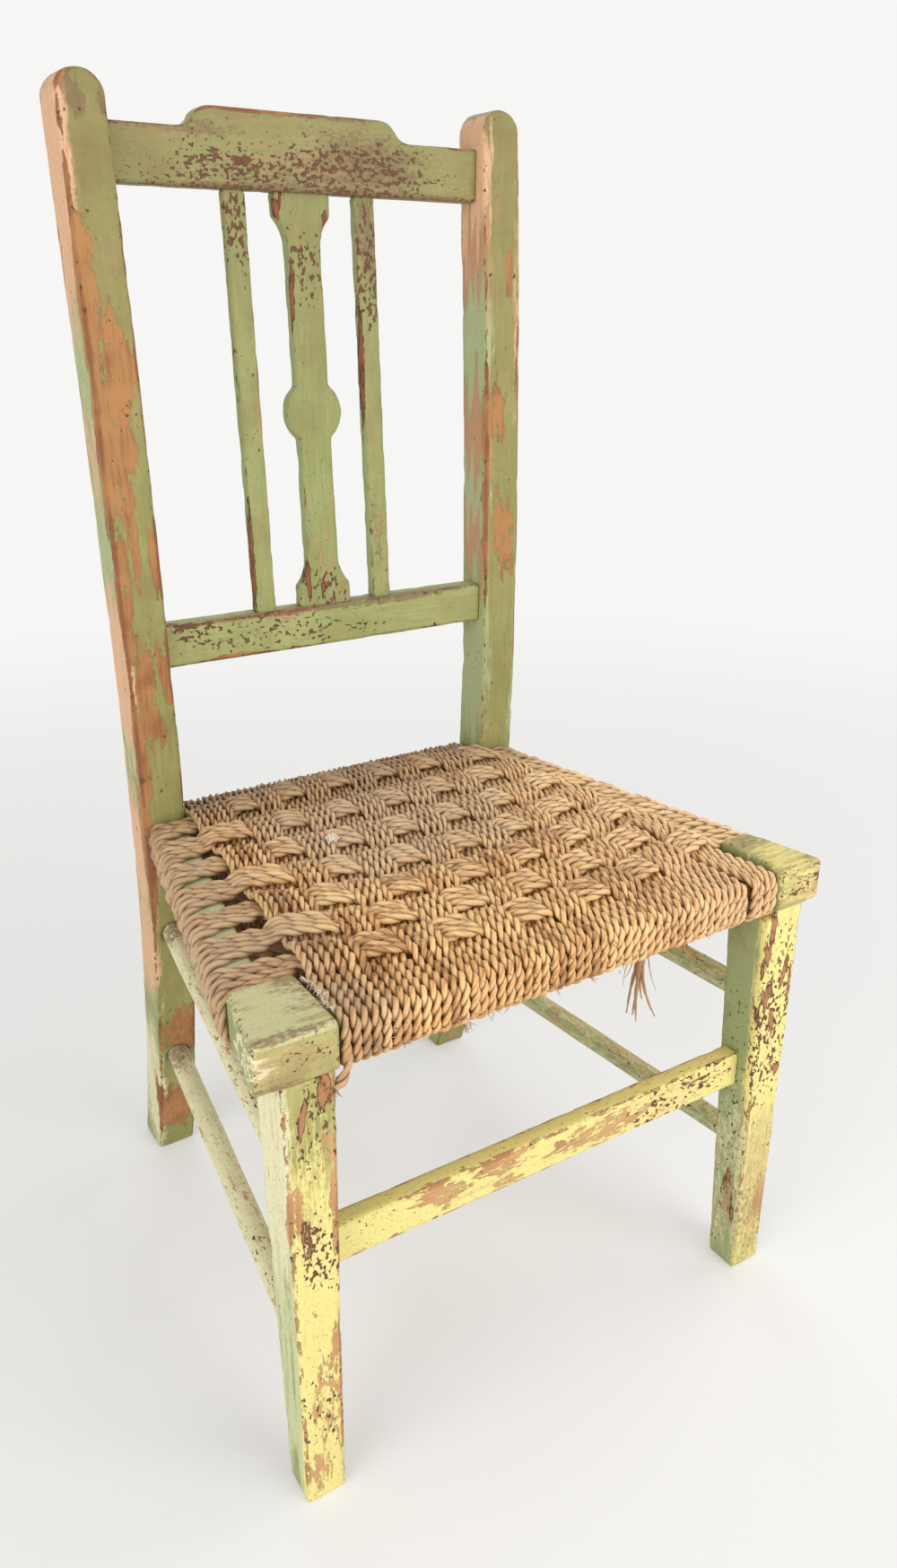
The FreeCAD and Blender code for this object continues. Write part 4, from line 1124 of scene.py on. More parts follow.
    def dress_banisters(self) -> None:
        """Dresses the splat and the two slats."""
        splat = [
            *patches(self.banister, Layer.FLAKE, (-12.2, 543.0, 1.5, 24.0), (-17.0, 590.0, 4.0, 5.0),
                     (11.0, 584.0, 4.0, 7.0), (-14.5, 394.0, 3.2, 11.0), (-5.5, 387.0, 2.2, 6.0)),
            *patches(self.banister, Layer.RUST, (-4.0, 400.0, 3.5, 5.0)),
            *patches(self.banister, Layer.CHIPS,
                     (-3.0, 560.0, 12.0, 24.0, 0.8), (-3.0, 386.0, 18.0, 14.0, 0.8)),
        ]
        left = [
            *patches(self.banister, Layer.CHIPS, (-41.0, 574.0, 9.0, 22.0)),
            *patches(self.banister, Layer.GRIME, (-41.0, 580.0, 9.0, 18.0, 0.5)),
            *patches(self.banister, Layer.FLAKE,
                     (-47.2, 410.0, 1.6, 40.0), (-47.0, 520.0, 1.6, 40.0, 0.8)),
        ]
        right = [
            *patches(self.banister, Layer.CHIPS, (35.0, 560.0, 8.0, 40.0)),
            *patches(self.banister, Layer.GRIME,
                     (35.0, 575.0, 8.0, 26.0, 0.8), (34.0, 415.0, 5.0, 22.0, 0.5)),
            *patches(self.banister, Layer.FLAKE, (29.2, 511.0, 2.2, 36.0)),
        ]
        self.dress("back_splat", Axis.UPRIGHT, splat, 0.75, 5.0, self.banister_finish)
        self.dress("back_slat_left", Axis.UPRIGHT, left, 0.85, 6.0, self.banister_finish)
        self.dress("back_slat_right", Axis.UPRIGHT, right, 0.85, 7.0, self.banister_finish)


@dataclass
class SeatFrame(PaintedFrame):
    """Front seat rail with its corner blocks, side rails and back rail."""

    finish: WornPaint = WornPaint(
        paint=(0.430, 0.365, 0.138), paint_light=(0.510, 0.455, 0.185), mint=(0.580, 0.560, 0.300),
        fleck=2.5, speck=1.7)
    # Painted light: the side rails' paint is lighter, so that where the cord shades them they still look lit
    rail_finish: WornPaint = WornPaint(
        paint=(0.530, 0.545, 0.290), paint_light=(0.610, 0.635, 0.370), paint_dull_and_shade=(0.450, 0.450, 0.250))
    front: float = -159.5
    block_top: float = 266.5
    block_middle: float = 254.8
    lid_skin: float = 3.0

    def lid(self, layer: Layer, x: float, y: float, wide: float, deep: float, weight: float = 1.0) -> Patch:
        """Patch on the top of a corner block."""
        return Patch(layer, (x, y, self.block_top), (wide, deep, self.lid_skin), weight)

    def build(self) -> None:
        """Dresses every seat rail."""
        block = partial(self.upright, self.front)
        blocks = [
            *patches(self.lid, Layer.MINT, (-146.0, -140.0, 30.0, 34.0)),
            *patches(self.lid, Layer.CREAM, (-150.0, -152.0, 20.0, 10.0, 0.3)),
            *patches(self.lid, Layer.GRIME,
                     (-127.0, -124.0, 12.0, 18.0, 0.6), (-134.0, -140.0, 9.0, 12.0, 0.4),
                     (150.0, -122.0, 20.0, 14.0, 0.5)),
            # Painted sunlight on the top of the right block
            *patches(self.lid, Layer.PAINTED_SUN, (152.0, -142.0, 20.0, 24.0, 0.7)),
            *patches(block, Layer.CHIPS, (-143.0, 255.0, 14.0, 8.0, 0.75), (152.0, 255.0, 14.0, 9.0, 0.9)),
            *patches(block, Layer.RUST, (-147.0, 258.0, 2.5, 4.0, 0.8), (-133.0, 254.0, 2.0, 3.5, 0.8),
                     (163.5, self.block_middle, 2.5, 14.0, 0.9)),
            *patches(block, Layer.SALMON, (-164.5, 258.0, 2.2, 12.0, 0.7), (152.0, 252.0, 16.0, 10.0, 0.48)),
            *patches(block, Layer.GRIME, (-145.0, self.block_top, 26.0, 2.4, 0.7),
                     (-150.0, 244.0, 18.0, 3.5, 0.6)),
            # Painted sunlight on the front of the right block
            *patches(block, Layer.PAINTED_SUN, (150.0, self.block_middle, 24.0, 20.0, 0.55)),
            *patches(block, Layer.FLAKE, (157.0, 258.0, 2.5, 2.8), (148.0, 251.0, 3.0, 2.4)),
            Patch(Layer.CREAM, (-165.0, -136.0, self.block_middle), (3.4, 70.0, 40.0), 0.85),
            Patch(Layer.FLAKE, (113.5, -150.0, 256.0), (6.5, 24.0, 20.0)),
        ]
        self.dress("front_seat_rail", Axis.ACROSS, blocks, 0.7, 8.0)
        for side, seed in (("left", 9.0), ("right", 10.0)):
            self.dress("side_seat_rail_" + side, Axis.DEEP, [], 0.4, seed, self.rail_finish)
        self.dress("back_seat_rail", Axis.ACROSS, [], 0.4, 11.0)


@dataclass
class Underframe(PaintedFrame):
    """Front legs, flat front stretcher and round side stretchers."""

    finish: WornPaint = WornPaint(
        paint=(0.370, 0.335, 0.108), paint_light=(0.455, 0.420, 0.155), paint_side_shade=(0.315, 0.370, 0.160),
        mint=(0.560, 0.595, 0.320), wood=(0.625, 0.352, 0.156), wood_dark=(0.430, 0.205, 0.095),
        fleck=2.6, speck=2.2, speckle=3.2)
    leg_face: float = -159.5
    leg_outside: float = -153.4
    leg_inside: float = 130.2
    stretcher_face: float = -148.3
    stretcher_top: float = 149.6
    stretcher_half: float = 10.9

    def build(self) -> None:
        """Dresses every leg and stretcher."""
        self.dress("front_leg_left", Axis.UPRIGHT, self.left_leg(), 0.8, 12.0)
        self.dress("front_leg_right", Axis.UPRIGHT, self.right_leg(), 0.75, 13.0)
        self.dress("front_stretcher", Axis.ACROSS, self.front_stretcher(), 0.75, 14.0)
        seed = 15.0
        for level in ("upper", "lower"):
            for side, chalk in (("left", 0.82), ("right", 0.50)):
                name = f"side_stretcher_{level}_{side}"
                self.dress(name, Axis.DEEP, self.side_stretcher(name, chalk), 0.5, seed)
                seed += 1.0

    @staticmethod
    def side_stretcher(name: str, chalk: float) -> list[Patch]:
        """Lists the wear of a round stretcher: chalky all over, dirty behind, chipped in front.

        Args:
            name: Name of its solid.
            chalk: How completely the chalky coat shows.

        Returns:
            The patches.
        """
        low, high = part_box(name)
        centre = tuple((low + high) / 2 / MM)
        front_end = (centre[0], low.y / MM + 20.0, centre[2])
        back_end = (centre[0], high.y / MM - 18.0, centre[2])
        return [Patch(Layer.CREAM, centre, (120.0, 260.0, 90.0), chalk),
                Patch(Layer.GRIME, back_end, (40.0, 16.0, 40.0), 0.7),
                Patch(Layer.BARE, centre, (60.0, 130.0, 60.0), 0.26),
                Patch(Layer.CHIPS, front_end, (60.0, 90.0, 60.0), 0.40)]

    def left_leg(self) -> list[Patch]:
        """Lists the wear of the left leg: painted sunlight on its lower front, chalky and mint paint on its
        outer face, flakes down its edges.

        Returns:
            The patches.
        """
        leg = partial(self.upright, self.leg_face)
        return [
            Patch(Layer.CREAM, (self.leg_outside, -144.0, 190.0), (2.6, 60.0, 100.0), 0.95),
            Patch(Layer.MINT, (self.leg_outside, -144.0, 60.0), (2.6, 60.0, 120.0), 0.9),
            # Painted sunlight on the lower front of the leg
            *patches(leg, Layer.PAINTED_SUN, (-139.0, 70.0, 40.0, 146.0)),
            *patches(leg, Layer.FLAKE, (-143.0, 228.0, 3.6, 7.5), (-133.5, 230.0, 4.5, 10.0),
                     (-144.5, 158.0, 3.4, 16.0, 0.8)),
            *patches(leg, Layer.BARE,
                     (-133.2, 205.0, 4.0, 11.0, 0.85), (-131.0, 184.0, 2.6, 12.0, 0.9),
                     (-147.5, 168.0, 7.0, 20.0, 0.74), (-131.5, 160.0, 2.6, 10.0, 0.9),
                     (-134.0, 96.0, 3.4, 18.0, 0.80), (-138.0, 60.0, 10.0, 28.0, 0.52),
                     (-144.0, 20.0, 9.0, 14.0, 0.62), (-133.0, 34.0, 4.0, 12.0, 0.65)),
            *patches(leg, Layer.CHIPS, (-139.0, 152.0, 12.0, 22.0), (-140.0, 214.0, 11.0, 24.0, 0.8),
                     (-139.0, 60.0, 12.0, 34.0, 0.55)),
        ]

    def right_leg(self) -> list[Patch]:
        """Lists the wear of the right leg: long dark flakes in paint made pale by painted sunlight, red
        rubbing at the foot.

        Returns:
            The patches.
        """
        leg = partial(self.upright, self.leg_face)
        inner = self.leg_inside
        return [
            # Painted sunlight on the front of the leg
            *patches(leg, Layer.PAINTED_SUN, (141.0, 185.0, 40.0, 100.0), (141.0, 60.0, 40.0, 120.0, 0.60)),
            *patches(leg, Layer.FLAKE,
                     (132.5, 227.0, 3.0, 12.0), (130.0, 213.0, 3.2, 9.0), (144.0, 202.0, 3.0, 7.0),
                     (132.0, 186.0, 5.5, 8.0), (138.0, 169.0, 2.6, 9.0), (147.0, 138.0, 3.2, 4.0),
                     (149.5, 190.0, 1.8, 16.0), (131.0, 122.0, 2.6, 2.4)),
            *patches(leg, Layer.CHIPS, (139.0, 172.0, 16.0, 62.0)),
            *patches(leg, Layer.BARE, (147.0, 42.0, 7.0, 18.0, 0.75)),
            *patches(leg, Layer.GRIME, (141.0, 34.0, 24.0, 44.0, 0.42)),
            *patches(leg, Layer.SALMON, (143.0, 62.0, 16.0, 70.0, 0.46)),
            Patch(Layer.CREAM, (inner, -146.0, 66.0), (4.5, 30.0, 80.0), 0.5),
            Patch(Layer.BARE, (inner, -151.0, 46.0), (4.0, 5.0, 24.0), 0.62),
            Patch(Layer.FLAKE, (inner, -148.0, 62.0), (4.0, 4.0, 9.0), 0.8),
            Patch(Layer.FLAKE, (inner, -153.0, 38.0), (4.0, 3.0, 14.0), 0.75),
            Patch(Layer.RUST, (inner + 0.2, -141.0, 22.0), (4.0, 6.0, 14.0), 0.6),
            Patch(Layer.CHIPS, (inner - 0.2, -146.0, 120.0), (4.0, 12.0, 140.0), 0.45),
        ]

    def front_stretcher(self) -> list[Patch]:
        """Lists the wear of the flat stretcher: bare along its middle, chipped at the right.

        Returns:
            The patches.
        """
        flat = partial(self.upright, self.stretcher_face)
        middle = self.stretcher_top - self.stretcher_half
        return [
            # Painted sunlight on the top and the front of the stretcher
            Patch(Layer.PAINTED_SUN, (0.0, -142.0, self.stretcher_top), (220.0, 12.0, 3.0), 0.95),
            *patches(flat, Layer.PAINTED_SUN, (0.0, middle, 230.0, 26.0)),
            *patches(flat, Layer.BARE,
                     (0.0, middle, 150.0, 14.0, 0.22), (-69.0, 142.0, 16.0, 7.0, 0.85),
                     (-36.0, 144.0, 16.0, 5.5, 0.85), (-27.5, 132.5, 12.0, 4.5, 0.85),
                     (12.5, 140.0, 13.0, 7.0, 0.85), (35.0, 138.0, 24.0, 8.0, 0.85), (-2.5, 139.5, 5.0, 4.0)),
            *patches(flat, Layer.CHIPS, (92.0, 140.0, 46.0, 12.0, 0.84), (-110.0, 141.0, 14.0, 9.0, 0.5)),
            *patches(flat, Layer.SALMON, (70.0, 138.0, 60.0, 12.0, 0.42)),
            *patches(flat, Layer.FLAKE, (101.0, 144.5, 6.0, 1.6)),
        ]


@dataclass
class Route:
    """Line that one cord or fibre follows, in metres, with its radius at each point."""

    points: list[Vector]
    radii: list[float]
    closed: bool = False


class CordTree(NodeWork):
    """Geometry Nodes tree that lays a twisted two-ply cord along every route of a curve object."""

    def __init__(self, name: str) -> None:
        """Builds the tree with named inputs for its sizes.

        Args:
            name: Name of the tree.
        """
        super().__init__(bpy.data.node_groups.new(name, "GeometryNodeTree"))
        self.identifiers: dict[str, str] = {}
        sockets = self.tree.interface
        sockets.new_socket("Geometry", in_out="INPUT", socket_type="NodeSocketGeometry")
        for label, kind in (("Ring Spacing", "Float"), ("Lay", "Float"), ("Groove", "Float"),
                            ("Profile Points", "Int"), ("Seed", "Int"), ("Cord", "Material")):
            item = sockets.new_socket(label, in_out="INPUT", socket_type="NodeSocket" + kind)
            self.identifiers[label] = item.identifier
        sockets.new_socket("Geometry", in_out="OUTPUT", socket_type="NodeSocketGeometry")
        self.inputs = self.add("NodeGroupInput").outputs
        self.join()

    def position(self) -> Socket:
        """Place of the point that is worked on."""
        return self.add("GeometryNodeInputPosition").outputs[0]

    def marked(self, geometry: Socket, name: str, value: Socket, kind: str = "FLOAT") -> Socket:
        """Geometry whose points carry a value under a name."""
        feeds = {"Geometry": geometry, "Name": name, "Value": value}
        return self.add("GeometryNodeStoreNamedAttribute", feeds, data_type=kind, domain="POINT").outputs[0]

    def profile(self) -> Socket:
        """Draws the outline of the two plies side by side.

        Returns:
            The outline, with the direction round the cord as its attribute "around".
        """
        circle = self.add("GeometryNodeCurvePrimitiveCircle",
                          {"Resolution": self.inputs["Profile Points"], "Radius": 1.0}, mode="RADIUS")
        named = self.marked(circle.outputs["Curve"], "around", self.position(), "FLOAT_VECTOR")
        sideways = self.axes(self.position())["Y"]
        across = self.math("MULTIPLY", sideways, sideways)
        shrink = self.math("SUBTRACT", 1.0, self.math("MULTIPLY", across, self.inputs["Groove"]))
        scaled = self.add("ShaderNodeVectorMath", {"Vector": self.position(), "Scale": shrink},
                          operation="SCALE")
        moved = self.add("GeometryNodeSetPosition", {"Geometry": named, "Position": scaled.outputs["Vector"]})
        return moved.outputs[0]

    def join(self) -> None:
        """Joins the tree from the routes to the finished mesh."""
        even = self.add("GeometryNodeResampleCurve",
                        {"Curve": self.inputs["Geometry"], "Length": self.inputs["Ring Spacing"]},
                        mode="LENGTH")
        along = self.add("GeometryNodeSplineParameter").outputs
        length = self.add("GeometryNodeSplineLength").outputs["Length"]
        turns = self.math("ROUND", self.math("DIVIDE", length, self.inputs["Lay"]))
        owner = self.add("GeometryNodeCurveOfPoint").outputs["Curve Index"]
        dice = self.add("FunctionNodeRandomValue",
                        {"Min_001": 0.0, "Max_001": 1.0, "ID": owner, "Seed": self.inputs["Seed"]},
                        data_type="FLOAT")
        chance = next(o for o in dice.outputs if o.identifier == "Value_001")
        turned = self.math("MULTIPLY", self.math("MULTIPLY_ADD", along["Factor"], turns, chance), math.tau)
        tilted = self.add("GeometryNodeSetCurveTilt", {"Curve": even.outputs[0], "Tilt": turned})
        measured = self.marked(tilted.outputs[0], "along", self.math("DIVIDE", along["Length"], MM))
        told_apart = self.marked(measured, "strand", chance)
        swept = self.add("GeometryNodeCurveToMesh",
                         {"Curve": told_apart, "Profile Curve": self.profile(),
                          "Scale": self.add("GeometryNodeInputRadius").outputs[0], "Fill Caps": True})
        soft = self.add("GeometryNodeSetShadeSmooth", {"Geometry": swept.outputs[0]})
        whole = self.add("GeometryNodeRealizeInstances", {"Geometry": soft.outputs[0]})
        dressed = self.add("GeometryNodeSetMaterial",
                           {"Geometry": whole.outputs[0], "Material": self.inputs["Cord"]})
        self.feed(self.add("NodeGroupOutput").inputs[0], dressed.outputs[0])

    def lay(self, name: str, routes: list[Route], settings: dict[str, object]) -> bpy.types.Object:
        """Piece of plain mesh with a cord along every route.

        Args:
            name: Name of the piece.
            routes: Lines that the cords follow.
            settings: Values of the tree's named inputs.

        Returns:
            The new piece.
        """
        curve = bpy.data.curves.new(name + "_route", "CURVE")
        curve.dimensions = "3D"
        for route in routes:
            spline = curve.splines.new("POLY")
            spline.points.add(len(route.points) - 1)
            spline.use_cyclic_u = route.closed
            for point, place, radius in zip(spline.points, route.points, route.radii):
                point.co = (*place, 1.0)
                point.radius = radius
        guide = placed(name + "_route", curve)
        modifier = guide.modifiers.new("cord", "NODES")
        modifier.node_group = self.tree
        for label, setting in settings.items():
            modifier[self.identifiers[label]] = setting
        piece = placed(name, evaluated_mesh(guide))
        piece.data.name = name
        bpy.data.objects.remove(guide)
        return piece


@dataclass
class CordSeat:
    """Seat of interlaced cord bands: warps from front to back, wefts from side to side."""

    finish: TwistedCord = TwistedCord()
    weft_finish: TwistedCord = TwistedCord(
        golden=(0.715, 0.405, 0.160), straw=(0.860, 0.590, 0.285), groove_dirt_and_shade=0.70)
    # Rails and corner blocks that the cord is wound round
    rail_top: float = 261.0
    rail_bottom: float = 244.0
    front_line: float = -154.3
    back_line: float = 101.2
    seat_front: float = -159.5
    seat_end: float = 78.4
    block_outer: float = 164.5
    side_taper: float = 0.187
    # Left and right edge of the warps at the front and at the back, and the turns of cord in each band
    warp_front: Pair = (-123.4, 133.6)
    warp_back: Pair = (-101.2, 101.2)
    strands: tuple[int, ...] = (6, 4, 4, 4, 4, 4, 4, 4, 4, 4, 5, 5)
    # Rows of weft, from the first to the last, and how far each is bowed forward
    weft_rows: int = 7
    weft_strands: int = 4
    weft_pitch: float = 5.1
    weft_first: float = -102.7
    weft_last: float = 66.3
    bow_front: float = 22.0
    bow_middle: float = 21.4
    bow_back: float = -10.0
    # Cord, its rise over a crossing and its turn round a rail
    cord_radius: float = 2.6
    warp_fill: float = 0.54
    weft_fill: float = 0.97
    lift: float = 4.9
    warp_ramp: Pair = (6.0, 3.5)
    weft_ramp: float = 4.5
    corner: float = 5.6
    corner_steps: int = 5
    route_step: float = 2.0
    # How much a row narrows under the warps and spreads at the side rails
    pinch: float = 0.46
    pinch_ramp: Range = (4.0, -8.0)
    spread: float = 0.30
    spread_ramp: Range = (-2.0, 14.0)
    turn_ramp: Range = (11.0, 2.0)
    sunk: float = 0.30
    # How much thinner the warps are at the left, and the place and width of the gaps between them
    slack: float = 0.13
    slack_across: Range = (-65.0, -105.0)
    slack_along: Range = (-130.0, -95.0)
    gaps: tuple[Pair, ...] = ((113.5, 5.0), (129.0, 1.6), (122.0, 1.2), (70.0, 1.2))
    gap_reach: float = 7.0
    gap_fade: Range = (10.0, -80.0)
    # Wander of a strand to the side and in height, its uneven thickness, and the keys that tell these apart
    warp_stray: Pair = (0.6, 0.6)
    weft_stray: Pair = (0.7, 0.5)
    uneven: float = 0.14
    uneven_pace: float = 3.0
    stray_run: float = 38.0
    stray_apart: float = 3.7
    warp_keys: Triple = (0.0, 50.0, 90.0)
    weft_keys: Triple = (200.0, 700.0, 1100.0)
    row_keys: int = 10
    # Loose end: its start beside the first strand, its bends and its thickness at each
    tail_aside: float = 2.6
    tail_out: float = 2.4
    tail_bends: tuple[Triple, ...] = ((0.0, 0.0, 7.0), (0.2, -0.8, 3.0), (-0.3, -1.6, -1.0),
                                      (-2.0, -2.2, -5.0), (-4.6, -2.4, -8.0), (-7.0, -2.2, -9.5))
    tail_swell: tuple[float, ...] = (0.9, 1.0, 1.0, 1.0, 1.05, 0.8)
    # Twist of the two plies
    spacing: float = 1.05
    profile_points: int = 10
    lay: float = 14.0
    groove: float = 0.50
    weft_lay: float = 20.0
    weft_groove: float = 0.42
    seed: int = 7

    @property
    def middle(self) -> float:
        """Height of the rails' middle, between the top of the seat and its underside."""
        return (self.rail_top + self.rail_bottom) / 2

    def warp_x(self, share: float, depth: float) -> float:
        """Follows one warp line.

        Args:
            share: Share of the strands that lie on the left of the line.
            depth: Y of the place.

        Returns:
            X of the line there.
        """
        along = (depth - self.seat_front) / (self.seat_end - self.seat_front)
        front = self.warp_front[0] + (self.warp_front[1] - self.warp_front[0]) * share
        back = self.warp_back[0] + (self.warp_back[1] - self.warp_back[0]) * share
        return front + (back - front) * along

    def border(self, band: int) -> float:
        """Share of the strands that lie left of a warp band."""
        return sum(self.strands[:band]) / sum(self.strands)

    def side(self, depth: float) -> float:
        """X of the right side rail's outer face at a depth."""
        return self.block_outer - self.side_taper * (depth - self.seat_front)

    def row_end(self, row: int) -> float:
        """Y of a weft row's middle line at the side rails."""
        return self.weft_first + (self.weft_last - self.weft_first) * row / (self.weft_rows - 1)

    def row_bow(self, row: int) -> float:
        """Works out the bow of a weft row.

        Args:
            row: Number of the row, from the front.

        Returns:
            How far the middle of the row is pushed forward of its ends.
        """
        share = row / (self.weft_rows - 1)
        bend = 2 * (self.bow_front + self.bow_back - 2 * self.bow_middle)
        slope = self.bow_back - self.bow_front - bend
        return self.bow_front + slope * share + bend * share ** 2

    def row_y(self, row: int, x: float) -> float:
        """Follows a weft row, straight over the rails and bowed between the warps.

        Args:
            row: Number of the row, from the front.
            x: X of the place.

        Returns:
            Y of the row's middle line there.
        """
        end = self.row_end(row)
        left, right = self.warp_x(0.0, end), self.warp_x(1.0, end)
        share = min(max((x - left) / (right - left), 0.0), 1.0)
        return end - 4 * self.row_bow(row) * share * (1.0 - share)

    @staticmethod
    def warp_over(band: int, row: int) -> bool:
        """True where a warp band rides over a weft row."""
        return (band + row) % 2 == 0

    def warp_rise(self, band: int, x: float, y: float) -> float:
        """Lifts a warp band over the rows that it crosses.

        Args:
            band: Number of the band, from the left.
            x: X of the place.
            y: Y of the place.

        Returns:
            Rise above the rails' level.
        """
        half = self.weft_pitch * self.weft_strands / 2
        rise = 0.0
        for row in range(self.weft_rows):
            if self.warp_over(band, row):
                away = abs(y - self.row_y(row, x))
                rise = max(rise, smooth(away, half + self.warp_ramp[0], half - self.warp_ramp[1]))
        return rise * self.lift

    def weft_rise(self, row: int, x: float, y: float) -> float:
        """Lifts a weft row over the bands that it crosses.

        Args:
            row: Number of the row, from the front.
            x: X of the place.
            y: Y of the place.

        Returns:
            Rise above the rails' level.
        """
        rise = 0.0
        for band in range(len(self.strands)):
            if not self.warp_over(band, row):
                left, right = (self.warp_x(self.border(b), y) for b in (band, band + 1))
                away = abs(x - (left + right) / 2)
                half = (right - left) / 2
                rise = max(rise, smooth(away, half + self.weft_ramp, half - self.weft_ramp))
        return rise * self.lift

    def loop(self, low: float, high: float, rise: Callable[[float], float]) -> list[Pair]:
        """Closed line round two rails.

        Args:
            low: Place of the first rail's outer face.
            high: Place of the second rail's outer face.
            rise: Function that gives the rise above the rails' level at a place.

        Returns:
            Points (place, height), from below the first rail, over the top and back underneath.
        """
        offset, corner = self.cord_radius, self.corner
        start, end = low - offset, high + offset
        top, bottom = self.rail_top + offset, self.rail_bottom - offset
        count = round((end - start - 2 * corner) / self.route_step)
        run = [start + corner + (end - start - 2 * corner) * i / count for i in range(count + 1)]
        turns = [math.pi / 2 * i / self.corner_steps for i in range(1, self.corner_steps)]
        bends = [(corner * (1 - math.sin(a)), corner * (1 - math.cos(a))) for a in turns]
        points = [(u, top + rise(u)) for u in run]
        points += [(end - a, top - b) for a, b in bends]
        points += [(end, top - corner), (end, bottom + corner)]
        points += [(end - b, bottom + a) for a, b in bends]
        points += [(u, bottom - rise(u)) for u in reversed(run)]
        points += [(start + a, bottom + b) for a, b in bends]
        points += [(start, bottom + corner), (start, top - corner)]
        points += [(start + b, top - a) for a, b in bends]
        half = len(points) * 3 // 4
        return points[half:] + points[:half]

    def stray(self, key: float, run: float, size: float) -> float:
        """Small wandering of a strand along its run."""
        return size * noise.noise(Vector((key * self.stray_apart, run / self.stray_run, 0.5)))

    def parted(self, x: float) -> float:
        """How far a strand at an x is pushed aside by the gaps between strands."""
        return sum(math.copysign(width / 2, x - gap) * math.exp(-abs(x - gap) / self.gap_reach)
                   for gap, width in self.gaps)

    def warp_routes(self, band: int) -> list[Route]:
        """Leads a warp band's strands round the front and back rails.

        Args:
            band: Number of the band, from the left.

        Returns:
            A route for each strand.
        """
        routes = []
        total = sum(self.strands)
        first = sum(self.strands[:band])
        for strand in range(first, first + self.strands[band]):
            share = (strand + 0.5) / total
            across, height, thickness = (key + self.warp_x(share, 0.0) for key in self.warp_keys)
            aside = self.parted(self.warp_x(share, self.seat_front)) if 0 < strand < total - 1 else 0.0
            line = self.loop(self.front_line, self.back_line,
                             lambda y: self.warp_rise(band, self.warp_x(share, y), y))
            points, radii = [], []
            for y, z in line:
                pitch = (self.warp_x(1.0, y) - self.warp_x(0.0, y)) / total
                x = self.warp_x(share, y) + self.stray(across, y, self.warp_stray[0])
                x += aside * smooth(y, *self.gap_fade)
                points.append(metres(x, y, z + self.stray(height, y, self.warp_stray[1])))
                slack = self.slack if z > self.middle else 0.0
                thin = 1.0 - slack * smooth(x, *self.slack_across) * smooth(y, *self.slack_along)
                uneven = 1.0 + self.stray(thickness, self.uneven_pace * y, self.uneven)
                radii.append(min(self.cord_radius, pitch * self.warp_fill) * thin * uneven * MM)
            routes.append(Route(points, radii, True))
        return routes

    def weft_width(self, row: int, x: float, z: float) -> float:
        """Narrows a weft row under the warps and spreads it over the side rails.

        Args:
            row: Number of the row, from the front.
            x: X of the place.
            z: Height of the place.

        Returns:
            Factor on the row's width.
        """
        end = self.row_end(row)
        edge, side = self.warp_x(1.0, end), self.side(end)
        under = 1.0 - self.weft_rise(row, x, self.row_y(row, x)) / self.lift
        between = smooth(abs(x), *(edge + ramp for ramp in self.pinch_ramp))
        sunk = self.sunk if row and z > self.middle and self.warp_over(0, row) else 0.0
        width = 1.0 - between * self.pinch * under
        width *= 1.0 + self.spread * smooth(x, *(edge + ramp for ramp in self.spread_ramp))
        width *= 1.0 - sunk * smooth(x, *(ramp - edge for ramp in self.pinch_ramp))
        return width * (1.0 + (self.spread + sunk) * smooth(x, *(ramp - side for ramp in self.turn_ramp)))

    def weft_routes(self, row: int) -> list[Route]:
        """Leads a weft row's strands round the side rails.

        Args:
            row: Number of the row, from the front.

        Returns:
            A route for each strand.
        """
        routes = []
        for strand in range(self.weft_strands):
            offset = (strand - (self.weft_strands - 1) / 2) * self.weft_pitch
            reach = self.side(self.row_end(row) + offset)
            across, height, thickness = (key + row * self.row_keys + strand for key in self.weft_keys)
            line = self.loop(-reach, reach, lambda x: self.weft_rise(row, x, self.row_y(row, x) + offset))
            points, radii = [], []
            for x, z in line:
                y = self.row_y(row, x) + offset * self.weft_width(row, x, z)
                y += self.stray(across, x, self.weft_stray[0])
                points.append(metres(x, y, z + self.stray(height, x, self.weft_stray[1])))
                uneven = self.weft_fill + self.stray(thickness, self.uneven_pace * x, self.uneven)
                radii.append(self.cord_radius * uneven * MM)
            routes.append(Route(points, radii, True))
        return routes

    def tail(self) -> Route:
        """Leads the loose end of the first strand down below the left corner block.

        Returns:
            The short route.
        """
        x, y, z = self.warp_front[0] + self.tail_aside, self.front_line - self.tail_out, self.rail_bottom
        radii = [self.cord_radius * share * MM for share in self.tail_swell]
        return Route([metres(x + a, y + b, z + c) for a, b, c in self.tail_bends], radii)

    def build(self) -> None:
        """Lays every band of cord in place of its plain solid."""
        tree = CordTree("twisted_cord")
        settings = {"Ring Spacing": self.spacing * MM, "Profile Points": self.profile_points}
        warp = {"Lay": self.lay * MM, "Groove": self.groove, "Cord": self.finish.material("warp_cord")}
        weft = {"Lay": self.weft_lay * MM, "Groove": self.weft_groove,
                "Cord": self.weft_finish.material("weft_cord")}
        bands = {f"seat_warp_{i + 1:02d}": self.warp_routes(i) for i in range(len(self.strands))}
        bands["seat_warp_01"].append(self.tail())
        bands.update({f"seat_weft_{i + 1}": self.weft_routes(i) for i in range(self.weft_rows)})
        for index, (node, routes) in enumerate(bands.items()):
            cord = warp if node.startswith("seat_warp") else weft
            piece = tree.lay(node + "_cord", routes, {**settings, **cord, "Seed": self.seed + index})
            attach(piece, BODY)
            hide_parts(node)
            LOG.info("%s: %d faces", piece.name, len(piece.data.polygons))


